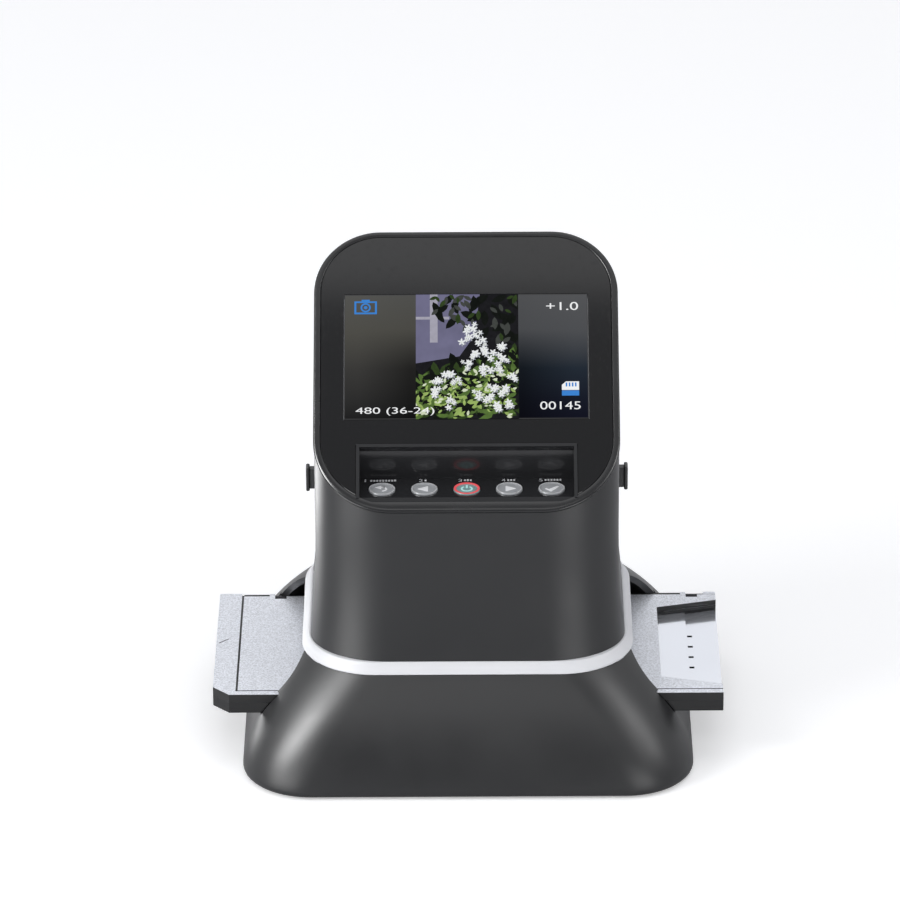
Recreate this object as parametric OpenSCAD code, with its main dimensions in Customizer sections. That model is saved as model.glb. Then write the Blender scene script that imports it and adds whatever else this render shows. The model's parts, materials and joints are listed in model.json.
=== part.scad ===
// Desktop scanner for roll film: a flared base with a light box, a sliding film holder, and a
// tower that carries the camera and a sloping head with a screen and five keys.
// Millimetres. +Z up, front towards -Y, origin on the table under the middle of the scanner.

/* [Base] */
// Width of the base at the table
base_w = 177; // [172:0.5:184]
// Depth of the base at the table
base_d = 151.5; // [146:0.5:158]
// How much further the base and the band reach behind the middle than in front of it
rear_more = 5; // [4:0.5:7]
// Radius of the base's corners, seen from above
base_corner_r = 27.5; // [25:0.5:31]
// How fast the flare steepens towards the band: 1 is a straight slope
flare_power = 1.6; // [1.3:0.05:1.8]
// Wall of the base skirt, measured level
skirt_wall = 3; // [2.4:0.1:3.4]
// Rounding of the skirt's bottom edge
skirt_edge = 1.2; // [0.6:0.1:1.6]
// Thickness of the bottom plate
plate_t = 2.4; // [2:0.1:3]
// How far the rubber feet lift the base
foot_h = 1; // [0.6:0.1:1.6]
// Diameter of a rubber foot
foot_d = 13; // [10:0.5:16]
// Half width at the foot of the arch over the film holder
arch_foot = 42; // [39:0.5:43]
// Half width at the top of the arch
arch_top = 32; // [28:0.5:34]

/* [Band] */
// Height of the skirt's top, where the band begins
band_z = 43.2; // [41:0.2:45]
// Height of the silver band
band_h = 4.4; // [3.6:0.1:5.4]
// Width of the band at its foot
band_w = 130; // [128:0.5:134]
// Depth of the band at its foot
band_d = 107; // [105:0.5:111]
// Corner radius of the band
band_corner_r = 29; // [26:0.5:32]
// How far the band leans in over its height
band_lean = 2.6; // [2.2:0.1:3]

/* [Tower] */
// Width of the tower
tower_w = 118.2; // [117:0.2:121]
// Distance from the middle to the tower's front wall
tower_front = 46.4; // [45:0.2:48]
// Height below which the tower flares out
waist_z = 92; // [84:1:98]
// Sideways flare of the tower's foot
tower_flare_x = 2.6; // [2:0.1:3]
// Forward flare of the tower's foot
tower_flare_y = 4.2; // [3.4:0.1:4.4]
// How far the rear wall leans in over the tower's height
back_lean = 3; // [1:0.5:4]
// Wall of the tower
tower_wall = 2.6; // [2.2:0.1:3]
// Where the front and rear shells meet, behind the middle
split_y = 24; // [22:0.5:27]
// Open line between two shells
seam = 0.3; // [0.2:0.05:0.5]

/* [Head] */
// Height of the sloping face's front lip
lip_z = 111.6; // [110:0.2:114]
// Slope of the face against the table
slope = 39.5; // [38:0.5:42]
// Length of the face up its slope
head_len = 119.7; // [117:0.1:123]
// Corner radius at the lower edge of the face
head_r_low = 30; // [28:0.5:32]
// Corner radius at the upper edge of the face
head_r_top = 26; // [24:0.5:30]
// Depth of the head's rim, square to the face
rim_h = 5; // [4.6:0.1:6]
// Width of the rim around the glossy window
rim_w = 2.3; // [1.8:0.1:2.6]
// How far the head stands proud of the tower
head_proud = 0.35; // [0.2:0.05:0.5]
// Height of the rim's side that shows at the front and sides of the head
rim_edge = 1; // [0.8:0.1:1.4]
// Wall of the tower where it laps the head
lip_w = 1.5; // [1.2:0.1:1.7]
// Thickness of the glossy window
window_t = 2; // [1.6:0.1:2.4]
// Gap round a piece that is let into another
inlay_gap = 0.15; // [0.1:0.05:0.25]

/* [Screen] */
// Width of the screen
screen_w = 95; // [92:0.5:97]
// Height of the screen up the slope
screen_h = 53.9; // [51:0.1:55]
// Distance up the slope to the screen's lower edge
screen_from = 38.3; // [37:0.1:40]
// Thickness of the screen's display module
module_t = 4.4; // [3.6:0.1:5]
// Border of the display module round the screen
module_border = 2.2; // [1.6:0.1:2.6]

/* [Keys] */
// Diameter of a key
key_d = 10.3; // [9.6:0.1:11]
// Distance between neighbouring keys
key_pitch = 16.4; // [15.6:0.1:17]
// Distance from the head's lip back to the keys
key_back = 12.6; // [12:0.1:13.6]
// Travel of a key
key_travel = 0.8; // [0.5:0.05:1]
// How far a key stands out of its shelf
key_proud = 0.5; // [0.4:0.1:1]
// Rise of the key's domed top
key_dome = 0.35; // [0.2:0.05:0.6]
// Play round a key in its hole
key_play = 0.09; // [0.05:0.01:0.1]
// Width of the key well's opening
well_w = 82.8; // [81:0.2:84]
// Distance up the slope to the well's lower edge
well_from = 3.7; // [3.5:0.1:4.2]
// Distance up the slope to the well's upper edge
well_to = 26.3; // [25.5:0.1:27]
// Distance from the shelf's front edge to the well's rear wall
shelf_d = 20.5; // [20:0.1:21.5]
// Wall of the key well
well_wall = 1.6; // [1.2:0.1:2]
// Thickness of the key shelf
shelf_t = 2; // [1.6:0.1:2.4]
// Width of the raised frame round the well
frame_w = 1.3; // [0.8:0.1:1.3]
// Height of that frame above the window
frame_h = 0.35; // [0.2:0.05:0.6]

/* [Film holder] */
// Length of the film holder
holder_l = 200; // [196:1:210]
// Width of the film holder
holder_w = 87.2; // [84:0.4:90]
// Thickness of the closed film holder
holder_h = 8; // [7.6:0.1:8.4]
// Height of the film holder's underside
holder_z = 21.8; // [21:0.1:22.4]
// Thickness of the lid
lid_t = 2.2; // [1.8:0.1:2.6]
// Length of the fixed block at the left end
end_block = 9; // [7:0.5:11]
// Width of the rim in front of the lid
holder_rim = 3; // [2.6:0.1:3.4]
// Depth of the strip behind the lid
hinge_strip = 2.2; // [2.1:0.1:2.6]
// Open line round the lid
lid_gap = 0.6; // [0.4:0.1:0.8]
// Width of the film channel
channel_w = 61.6; // [61.2:0.1:63]
// Height of the film channel's floor above the holder's underside
channel_z = 4.1; // [3.6:0.1:4.4]
// How far the floor drops at the right end
end_drop = 0.9; // [0.5:0.1:1.2]
// Length of the picture window
window_l = 84; // [80:1:88]
// Height of the picture window, across the film
window_w = 56; // [54:0.5:57]
// Chamfer on the front left corner
holder_chamfer = 6.5; // [5:0.5:7.5]
// Length of the lid's cut-out at the right end
funnel_l = 24; // [22:0.2:27]
// Width of the cut-out where it begins
funnel_w = 59.8; // [58:0.5:61]
// Width of the cut-out at the end
funnel_end = 73; // [70:0.5:76]
// Length of the lower floor at the right end
end_l = 12.6; // [12:0.2:14]
// Diameter of the lid's hinge pins
pin_d = 1.6; // [1.4:0.1:1.8]
// Width of a hinge ear
ear_w = 2.2; // [2:0.1:2.6]

/* [Camera] */
// Height of the middle of the finger tabs, in their upper place
tab_z = 103; // [101.5:0.1:104]
// Travel of the lens carriage
carriage_travel = 30; // [20:1:30]
// Height of a finger tab's plate
tab_h = 10; // [9:0.5:11]
// Height of the stem behind the plate
stem_h = 8.5; // [7.5:0.5:8.5]
// Thickness of the stem
stem_t = 3.4; // [3:0.1:3.8]
// Depth of a finger tab's plate, front to back
tab_d = 5; // [4.5:0.1:6]
// Thickness of a finger tab's plate
tab_t = 1.5; // [1.2:0.1:1.8]
// How far the plate's outer face stands off the tower
tab_reach = 4; // [3.6:0.1:5]
// Diameter of a guide rod
rod_d = 5; // [4:0.1:6]
// Distance from the tower's side in to a guide rod's axis
rod_side = 11.1; // [10.6:0.1:12]
// Play of the carriage on a rod
rod_play = 0.05; // [0.03:0.01:0.08]
// Outer diameter of the lens barrel
barrel_d = 26; // [22:0.5:28]
// Length of the lens barrel below the carriage
barrel_l = 19; // [14:0.5:20]
// Thickness of the carriage plate
carriage_t = 3; // [2.4:0.1:3.6]

/* [Inside] */
// Thickness of a circuit board
board_t = 1.6; // [1.2:0.1:2]
// Length of the light box
light_l = 100; // [96:1:104]
// Width of the strip of the film holder beside the light box
light_side = 7.6; // [7:0.1:9]
// Wall of the light box
light_wall = 1.6; // [1.2:0.1:2]
// Thickness of the diffuser
diffuser_t = 2; // [1.5:0.1:2.4]
// Length of the film tunnel
tunnel_l = 118; // [114:1:120]
// Thickness of the tunnel's walls
tunnel_wall = 2.4; // [2:0.1:2.8]
// Gap between the holder and the tunnel
holder_play = 0.3; // [0.25:0.05:0.4]
// Thickness of the chassis sheet
sheet_t = 2; // [1.5:0.1:2.5]
// Height of the connector board
socket_z = 55; // [53:0.5:57]

/* [Hidden] */
$fn = 48;
eps = 0.01;
over = 1;           // how far a cut runs past what it cuts
fit = 0.1;          // gap between pieces that touch lightly
corner_steps = 10;  // facets in a quarter turn of a lofted corner
black = "#26282b";
satin = "#3a3c3f";
circuit = "#1d5a3c";
steel = "#b9bcc2";

half_w = tower_w / 2;
rod_span = tower_w - 2 * rod_side;
light_w = holder_w - 2 * light_side;
skirt_z0 = foot_h;
band_top = band_z + band_h;
plate_top = skirt_z0 + plate_t;
tower_z0 = band_top;
holder_top = holder_z + holder_h;
channel_floor = holder_z + channel_z;
tunnel_floor = holder_z - holder_play;
tunnel_half = holder_w / 2 + holder_play + fit;
tunnel_top = holder_top + 4 * holder_play;
gate_t = 1.8;
gate_top = tunnel_top + gate_t;
light_top = tunnel_floor - diffuser_t - 0.5;
flange_top = gate_top + sheet_t;

// Height of the sloping face above a place y, at a depth below the face
function face_z(y, depth = 0) = lip_z + (y + tower_front) * tan(slope) - depth / cos(slope);

// Places on the face, from a distance up its slope
function face_y(up) = -tower_front + up * cos(slope);

shelf_z = lip_z + well_from * sin(slope) - 0.2;
shelf_front = face_y(well_from) - 0.2;
well_back = shelf_front + shelf_d;
key_y = -tower_front + key_back;
corner_relief = 0.7;  // the well's walls start behind the rim's curved corner
ledge_t = 1.5;
flange_t = 0.9;
stem_l = 1.9;
key_stem_end = shelf_z - shelf_t - 0.05 - flange_t - stem_l;
switch_top = key_stem_end - key_travel - 0.1;
switch_h = 3.8;
key_board_top = switch_top - switch_h;

carriage_z = tab_z - carriage_t / 2 - 2;
rod_y = 16;
rod_top = tab_z + 14;
column_y = 30;
column_x = [38, 50];
bracket_x = rod_span / 2 + 5;
lens_z = carriage_z - barrel_l;
flange_d = barrel_d + 6;

function quarter(rx, ry, from) = [for (i = [0 : corner_steps])
    let (a = from + 90 * i / corner_steps) [rx * cos(a), ry * sin(a)]];

// Level outline with straight sides and elliptical corners, counter-clockwise from above
function outline(half, front, back, low, top) = [
    for (p = quarter(top[0], top[1], 0)) [half - top[0] + p[0], back - top[1] + p[1]],
    for (p = quarter(top[0], top[1], 90)) [top[0] - half + p[0], back - top[1] + p[1]],
    for (p = quarter(low[0], low[1], 180)) [low[0] - half + p[0], front + low[1] + p[1]],
    for (p = quarter(low[0], low[1], 270)) [half - low[0] + p[0], front + low[1] + p[1]]];

function lift(points, z) = [for (p = points) [p[0], p[1], z]];

function ring_of(w, d, r, z, inset = 0) = let (c = [r - inset, r - inset])
    lift(outline(w / 2 - inset, inset - d / 2, d / 2 + rear_more - inset, c, c), z);

function wall_faces(n, i, k) = [for (j = [0 : n - 1]) let (j2 = (j + 1) % n)
    each [[i * n + j, k * n + j, k * n + j2], [i * n + j, k * n + j2, i * n + j2]]];

// Sizes are measured from the film's middle line; this moves a piece to the middle of the whole scanner
module placed() {
    translate([0, -rear_more / 2, 0])
        children();
}

// Closed tube through rings that go up the outside and down the inside
module tube_loft(rings) {
    n = len(rings[0]);
    m = len(rings);
    polyhedron(points = [for (r = rings) each r],
        faces = [for (i = [0 : m - 1]) each wall_faces(n, i, (i + 1) % m)]);
}

// Solid through rings from the lowest to the highest
module solid_loft(rings) {
    n = len(rings[0]);
    m = len(rings);
    polyhedron(points = [for (r = rings) each r],
        faces = [[for (j = [0 : n - 1]) j], for (i = [0 : m - 2]) each wall_faces(n, i, i + 1),
            [for (j = [n - 1 : -1 : 0]) (m - 1) * n + j]]);
}

// Box centred on x = 0 and y = 0, from one height to another
module slab(w, d, z0, z1) {
    translate([-w / 2, -d / 2, z0])
        cube([w, d, z1 - z0]);
}

module block(x, y, z) {
    translate([x[0], y[0], z[0]])
        cube([x[1] - x[0], y[1] - y[0], z[1] - z[0]]);
}

module post(x, y, d, z0, z1) {
    translate([x, y, z0])
        cylinder(d = d, h = z1 - z0);
}

module four(x, y) {
    for (sx = [-1, 1], sy = [-1, 1])
        translate([sx * x, sy * y, 0])
            children();
}

module rounded_rect(w, d, r) {
    square([w - 2 * r, d], center = true);
    square([w, d - 2 * r], center = true);
    for (sx = [-1, 1], sy = [-1, 1])
        translate([sx * (w / 2 - r), sy * (d / 2 - r)])
            circle(r = r);
}

// Frame of the sloping face: x across, y up the slope, z out of the face
module on_face() {
    translate([0, -tower_front, lip_z])
        rotate([slope, 0, 0])
            children();
}

module screw(d, head_d, head_h, l) {
    difference() {
        cylinder(d = head_d, h = head_h);
        for (a = [0, 90])
            rotate([0, 0, a])
                slab(head_d * 0.6, 0.6, -eps, head_h / 2);
    }
    translate([0, 0, head_h - eps])
        cylinder(d = d, h = l);
}

/* Base */

foot_in = 22;
screw_x = 40;
screw_y = tunnel_half + tunnel_wall + 3;
screw_d = 3;
head_d = 5.6;
head_h = 1.4;
base_screw_l = 9;
rear_screw_l = 12;
leg_d = 8;
recess = 1.2;
plate_inset = skirt_edge + skirt_wall;
arch_power = 2.2;  // how late the arch's sides turn in towards the band

module at_feet() {
    translate([0, rear_more / 2, 0])
        four(base_w / 2 - foot_in, (base_d + rear_more) / 2 - foot_in)
            children();
}

module base_plate() {
    drawn_in = 2 * (plate_inset + fit);
    placed() color(black)
        difference() {
            translate([0, rear_more / 2, skirt_z0])
                linear_extrude(plate_t)
                    rounded_rect(base_w - drawn_in, base_d + rear_more - drawn_in, base_corner_r - plate_inset);
            at_feet()
                post(0, 0, foot_d + 2 * fit, 0, skirt_z0 + recess);
            four(screw_x, screw_y) {
                post(0, 0, screw_d + fit, 0, plate_top + over);
                post(0, 0, head_d + 2 * fit, 0, skirt_z0 + head_h);
            }
        }
}

module rubber_feet() {
    placed() color("#1b1b1c")
        at_feet()
            post(0, 0, foot_d, 0, skirt_z0 + recess);
}

module bottom_screws() {
    placed() color(steel)
        four(screw_x, screw_y)
            translate([0, 0, skirt_z0])
                screw(screw_d, head_d, head_h, base_screw_l);
}

// Outline of the skirt at a height: the flare is fully out at the foot and gone at the band
function skirt_ring(z, inset) = let (f = 1 - pow((z - skirt_z0) / (band_z - skirt_z0), flare_power))
    ring_of(band_w + (base_w - band_w) * f, band_d + (base_d - band_d) * f,
        band_corner_r + (base_corner_r - band_corner_r) * f, z, inset);

// The arch's edge, from the film holder's top (0) to the band (1)
function arch_point(t, s = 1) = [s * (arch_top + (arch_foot - arch_top) * (1 - pow(t, arch_power))),
    holder_top + t * (band_z - holder_top)];

// The flared skirt: open below, with a way through for the film holder and an arch over it
module base_skirt() {
    edge = [for (q = [[0, 1], [0.12, 0.5], [0.5, 0.13], [1, 0]])
        skirt_ring(skirt_z0 + q[0] * skirt_edge * 2, q[1] * skirt_edge)];
    flare = [for (z = [8, 14, 20, 26, 32, 37, band_z]) skirt_ring(z, 0)];
    inside = [for (z = [band_z, 32, 22, 12, plate_top + 2]) skirt_ring(z, skirt_wall)];
    seat = skirt_ring(skirt_z0, plate_inset);
    placed() color(black)
        difference() {
            tube_loft(concat(edge, flare, inside,
                [for (z = [plate_top + 0.3, skirt_z0]) [for (p = seat) [p[0], p[1], z]]]));
            slab(base_w + 20, holder_w + 1.4, holder_z - 0.6, holder_top + 0.6);
            rotate([90, 0, 90])
                linear_extrude(base_w + 20, center = true)
                    polygon(concat([for (t = [0 : 0.2 : 1]) arch_point(t)], [[arch_top, band_z + over],
                        [-arch_top, band_z + over]], [for (t = [1 : -0.2 : 0]) arch_point(t, -1)]));
        }
}

band_wall = 6;

module silver_band() {
    soft = 0.3;
    placed() color("#dcdce0")
        tube_loft([for (q = [[0, soft], [soft, 0], [band_h - soft, band_lean - soft], [band_h, band_lean],
            [band_h, band_wall], [0, band_wall]])
            ring_of(band_w, band_d, band_corner_r, band_z + q[0], q[1])]);
}

/* Film tunnel and light */

tunnel_w = 2 * (tunnel_half + tunnel_wall);
tunnel_base = tunnel_floor - 2.4;
spring_y = (light_w / 2 + tunnel_half) / 2;
spring_d = 3;

module film_tunnel() {
    placed() color(black)
        difference() {
            union() {
                slab(tunnel_l, tunnel_w, tunnel_base, tunnel_floor);
                for (s = [-1, 1])
                    translate([0, s * (tunnel_half + tunnel_wall / 2), 0])
                        slab(tunnel_l, tunnel_wall, tunnel_base, tunnel_top);
                four(screw_x, screw_y)
                    post(0, 0, leg_d, plate_top, tunnel_floor);
            }
            slab(light_l + 4 * fit, light_w + 4 * fit, 0, tunnel_floor + over);
            four(screw_x, screw_y)
                post(0, 0, screw_d + fit, 0, plate_top + base_screw_l + 1);
            for (s = [-1, 1])
                post(0, s * spring_y, spring_d + fit, 0, tunnel_floor + over);
        }
}

spring_l = 4;

// Sprung pins in the tunnel's floor that hold the film holder at a picture
module detent_springs() {
    placed() color(steel)
        for (s = [-1, 1])
            translate([0, s * spring_y, tunnel_floor - spring_l]) {
                cylinder(d = spring_d, h = spring_l);
                translate([0, 0, -1])
                    cylinder(d = spring_d + 2, h = 1 + 4 - 2.4 - eps);
            }
}

module upper_gate() {
    placed() color("#1f2022")
        difference() {
            slab(tunnel_l, tunnel_w, tunnel_top, gate_top);
            slab(window_l + 6, window_w + 6, tunnel_top - over, gate_top + over);
        }
}

led_floor = plate_top + 1.2;

module light_box() {
    placed() color("white")
        difference() {
            slab(light_l, light_w, plate_top, light_top);
            slab(light_l - 2 * light_wall, light_w - 2 * light_wall, led_floor, light_top + over);
        }
}

module led_board() {
    placed() color("#e8e8e2")
        slab(light_l - 2 * light_wall - 4, light_w - 2 * light_wall - 4, led_floor, led_floor + board_t);
}

module light_leds() {
    placed() color("#f7f2c9")
        for (i = [-2 : 2], k = [-1 : 1])
            translate([i * light_l / 6, k * light_w / 4, 0])
                slab(5, 5, led_floor + board_t, led_floor + board_t + 1.2);
}

module diffuser() {
    placed() color("#f4f6f8")
        slab(light_l, light_w, light_top, light_top + diffuser_t);
}

/* Chassis */

bracket_z = rod_top - sheet_t - 1;
board_half = column_x[0] - 0.5;

deck_x = 56;
deck_front = -38;

module chassis() {
    placed() color(steel)
        difference() {
            union() {
                block([-deck_x, deck_x], [deck_front, column_y + sheet_t + 2], [gate_top, flange_top]);
                block([-bracket_x, bracket_x], [rod_y - 7, rod_y + 6], [bracket_z, bracket_z + sheet_t]);
                block([-column_x[1], column_x[1]], [rod_y, column_y + sheet_t],
                    [bracket_z, bracket_z + sheet_t]);
                for (s = [-1, 1])
                    mirror([s > 0 ? 0 : 1, 0, 0]) {
                        block(column_x, [column_y, column_y + sheet_t], [gate_top, bracket_z + sheet_t]);
                        block([column_x[0] - 7, column_x[0] + 1], [column_y - 3, column_y + sheet_t],
                            [socket_z - sheet_t, socket_z]);
                    }
            }
            slab(window_l + 2, window_w, 0, flange_top + over);
            for (s = [-1, 1])
                post(s * rod_span / 2, rod_y, rod_d + 0.04, 0, rod_top + over);
            rear_holes(screw_d + fit);
        }
}

module guide_rods() {
    placed() color("#d7d9dc")
        for (s = [-1, 1])
            post(s * rod_span / 2, rod_y, rod_d, gate_top, rod_top);
}

/* Tower */

head_back = face_y(head_len);

// How deep the rim's side shows: shallow at the front half, deeper towards the back
function rim_depth(y) = let (from = -tower_front / 2)
    rim_edge + (rim_h - 1 - rim_edge) * max(0, (y - from) / (head_back - from));

// A ring of the head, at the depth where its rim ends or at a depth of its own
function rim_ring(depth, inset, part = 0) = [
    for (p = outline(half_w - inset, inset - tower_front, head_back - inset,
        [head_r_low - inset, head_r_low * cos(slope) - inset],
        [head_r_top - inset, head_r_top * cos(slope) - inset]))
    [p[0], p[1], face_z(p[1], depth + part * rim_depth(p[1]))]];

// One ring of the tower's wall; t goes from the band (0) to the head's rim (1)
function tower_ring(t, inset) = [
    for (p = outline(half_w - inset, inset - tower_front, head_back - inset,
        [head_r_low - inset, head_r_low * cos(slope) - inset],
        [head_r_top - inset, head_r_top * cos(slope) - inset]))
    let (z = tower_z0 + t * (face_z(p[1], rim_depth(p[1]) + seam) - tower_z0),
        f = pow(max(0, waist_z - z) / (waist_z - tower_z0), 2))
    [p[0] * (1 + f * tower_flare_x / half_w),
        p[1] * (1 + f * tower_flare_y / tower_front) + max(0, p[1]) / head_back * back_lean * (1 - t), z]];

// Middle of the rear wall's outside at a height
function rear_y(z) = let (f = pow(max(0, waist_z - z) / (waist_z - tower_z0), 2),
    t = (z - tower_z0) / (face_z(head_back, rim_depth(head_back) + seam) - tower_z0))
    head_back * (1 + f * tower_flare_y / tower_front) + back_lean * (1 - t);

rear_x = 42;
rear_z = [66, 106];
// How far the rounded corner has fallen back at the rear screws
rear_drop = head_r_top * cos(slope) * (1 - sqrt(1 - pow((rear_x - half_w + head_r_top) / head_r_top, 2)));
boss_d = 7.4;
slot_play = 0.4;  // round a finger tab's stem in its slot

module along_y(x, y0, y1, z, d) {
    translate([x, y0, z])
        rotate([-90, 0, 0])
            cylinder(d = d, h = y1 - y0);
}

past_back = 80;  // a place well behind the tower

module rear_holes(d) {
    for (s = [-1, 1], z = rear_z)
        along_y(s * rear_x, column_y - over, 80, z, d);
}

module tower_tube() {
    tube_loft(concat([for (t = [0, 0.06, 0.12, 0.18, 0.25, 0.33, 0.45, 0.6, 0.75, 1]) tower_ring(t, 0)],
        [rim_ring(seam, lip_w, 1), rim_ring(rim_h + 2 * seam, lip_w),
            rim_ring(rim_h + 2 * seam + 1, tower_wall)],
        [for (t = [0.7, 0.33, 0.2, 0.1, 0]) tower_ring(t, tower_wall)]));
}

module tower_front() {
    placed() color(black)
        difference() {
            tower_tube();
            block([-80, 80], [split_y - seam / 2, 80], [0, 250]);
            well_room(shelf_z - shelf_t - fit);
            for (s = [-1, 1])
                translate([s * half_w, 0, 0])
                    slab(20, stem_t + 2 * slot_play, tab_z - carriage_travel - stem_h / 2 - slot_play,
                        tab_z + stem_h / 2 + slot_play);
        }
}

usb_size = [9.2, 7.6, 3.4];
card_size = [25, 24, 2.6];
video_size = [11.4, 7.6, 3.4];
usb_x = 24;
card_x = -16;
video_x = 7;
socket_back = rear_y(socket_z) - 0.8;
board_back = rear_y(socket_z) - tower_wall - 1;
socket_floor = socket_z + board_t;

module socket_block(x, size, grow = 0, reach = 0) {
    block([x - size[0] / 2 - grow, x + size[0] / 2 + grow], [socket_back - size[1], socket_back + reach],
        [socket_floor - grow, socket_floor + size[2] + grow]);
}

module tower_rear() {
    placed() color(black)
        difference() {
            union() {
                difference() {
                    tower_tube();
                    block([-80, 80], [-80, split_y + seam / 2], [0, 250]);
                }
                for (s = [-1, 1], z = rear_z)
                    along_y(s * rear_x, column_y + sheet_t, rear_y(z) - rear_drop - tower_wall / 2, z,
                        boss_d);
            }
            rear_holes(screw_d + fit);
            for (s = [-1, 1], z = rear_z)
                along_y(s * rear_x, rear_y(z) - rear_drop - head_h - 0.6, past_back, z, head_d + 2 * fit);
            for (q = [[usb_x, usb_size], [card_x, card_size], [video_x, video_size]])
                socket_block(q[0], q[1], fit, 10);
        }
}

module rear_screws() {
    placed() color(steel)
        for (s = [-1, 1], z = rear_z)
            translate([s * rear_x, rear_y(z) - rear_drop - 0.6, z])
                rotate([90, 0, 0])
                    screw(screw_d, head_d, head_h, rear_screw_l);
}

module connector_board() {
    placed() color(circuit)
        block([-board_half, board_half], [rod_y + 4, board_back], [socket_z, socket_floor]);
}

// A socket: a metal sleeve with its mouth to the rear
module socket(x, size, wall) {
    difference() {
        socket_block(x, size);
        block([x - size[0] / 2 + wall, x + size[0] / 2 - wall],
            [socket_back - size[1] + 2, socket_back + over],
            [socket_floor + wall, socket_floor + size[2] - wall]);
    }
}

module usb_socket() {
    placed() color(steel) {
        socket(usb_x, usb_size, 0.4);
        block([usb_x - 3, usb_x + 3], [socket_back - usb_size[1] + 1, socket_back - 1],
            [socket_floor + 1.4, socket_floor + 2]);
    }
}

module card_socket() {
    placed() color(steel)
        socket(card_x, card_size, 0.3);
}

module video_socket() {
    placed() color(steel) {
        socket(video_x, video_size, 0.4);
        block([video_x - 4, video_x + 4], [socket_back - video_size[1] + 1, socket_back - 1],
            [socket_floor + 1.4, socket_floor + 2]);
    }
}

/* Head */

// Outline of the sloping face, in its own frame, drawn in by an inset
module face_shape(inset) {
    h = half_w - inset;
    low = head_r_low - inset;
    top = head_r_top - inset;
    far = head_len - inset;
    polygon([[low - h, inset], [h - low, inset], [h, inset + low], [h, far - top], [h - top, far],
        [top - h, far], [-h, far - top], [-h, inset + low]]);
    for (s = [-1, 1]) {
        translate([s * (h - low), inset + low])
            circle(r = low);
        translate([s * (h - top), far - top])
            circle(r = top);
    }
}

module screen_block(grow, z0, z1) {
    translate([-screen_w / 2 - grow, screen_from - grow, z0])
        cube([screen_w + 2 * grow, screen_h + 2 * grow, z1 - z0]);
}

main_depth = rim_h + 4;
board_up = [screen_from + 4, screen_from + screen_h - 10];
board_x = screen_w / 2 + 5.5;

module main_posts(d, z0, z1) {
    for (s = [-1, 1], up = board_up)
        translate([s * board_x, up, z0])
            cylinder(d = d, h = z1 - z0);
}

// Room for the key well in what it is let into
module well_room(from) {
    side = well_w / 2 + well_wall + fit;
    block([-side, side], [shelf_front + corner_relief - fit, well_back + well_wall + fit],
        [from, lip_z + 50]);
    block([-well_w / 2 - fit, well_w / 2 + fit], [shelf_front - fit, well_back], [from, lip_z + 50]);
}

module head_rim() {
    placed() color(satin)
        difference() {
            union() {
                solid_loft([rim_ring(rim_h, lip_w + fit), rim_ring(0, lip_w + fit, 1),
                    rim_ring(0, -head_proud, 1), rim_ring(0.6, -head_proud),
                    rim_ring(0.25, 0.25 - head_proud), rim_ring(0, 0.9 - head_proud)]);
                on_face()
                    main_posts(5, -main_depth, -rim_h + over);
            }
            on_face() {
                translate([0, 0, -window_t])
                    linear_extrude(window_t + 2 * over)
                        difference() {
                            face_shape(rim_w);
                            square([well_w + 2 * frame_w, 2 * (well_from + 1)], center = true);
                        }
                screen_block(module_border + fit, -rim_h - over, 0);
                main_posts(2.6, -main_depth - over, -rim_h + over);
            }
            well_room(90);
        }
}

module front_window() {
    placed() color("#3a3b3e")
        on_face()
            difference() {
                translate([0, 0, -window_t])
                    linear_extrude(window_t)
                        face_shape(rim_w + inlay_gap);
                screen_block(inlay_gap, -rim_h, over);
                translate([-well_w / 2 - frame_w - inlay_gap, 0, -rim_h])
                    cube([well_w + 2 * (frame_w + inlay_gap), well_to + frame_w + inlay_gap, 2 * rim_h]);
            }
}

module display_module() {
    placed() color(steel)
        on_face()
            screen_block(module_border, -window_t - module_t, -window_t);
}

module display_screen() {
    placed() color("#4a4f55")
        on_face()
            screen_block(0, -window_t, -0.15);
}

module main_board() {
    placed() color(circuit)
        on_face() {
            translate([-board_x - 3, board_up[0] - 4, -main_depth - board_t])
                cube([2 * board_x + 6, board_up[1] - board_up[0] + 8, board_t]);
            translate([-9, board_up[0] + 12, -main_depth - board_t - 1.2])
                cube([18, 18, 1.3]);
        }
}

module main_board_screws() {
    placed() color(steel)
        on_face()
            for (s = [-1, 1], up = board_up)
                translate([s * board_x, up, -main_depth - board_t - 1.2])
                    cylinder(d = 4.6, h = 1.2);
}

/* Keys */

key_r = key_d / 2;
key_board_x = well_w / 2 + 1;
key_board_y = [key_r + 1.8, key_r + 3.8];  // how far the key board reaches in front of and behind the keys
key_post_x = well_w / 2 - 1.2;
key_post_y = [key_y - key_board_y[0] + 2, key_y + key_board_y[1] - 2.5];

module at_keys() {
    for (i = [-2 : 2])
        translate([i * key_pitch, key_y, 0])
            children();
}

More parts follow.
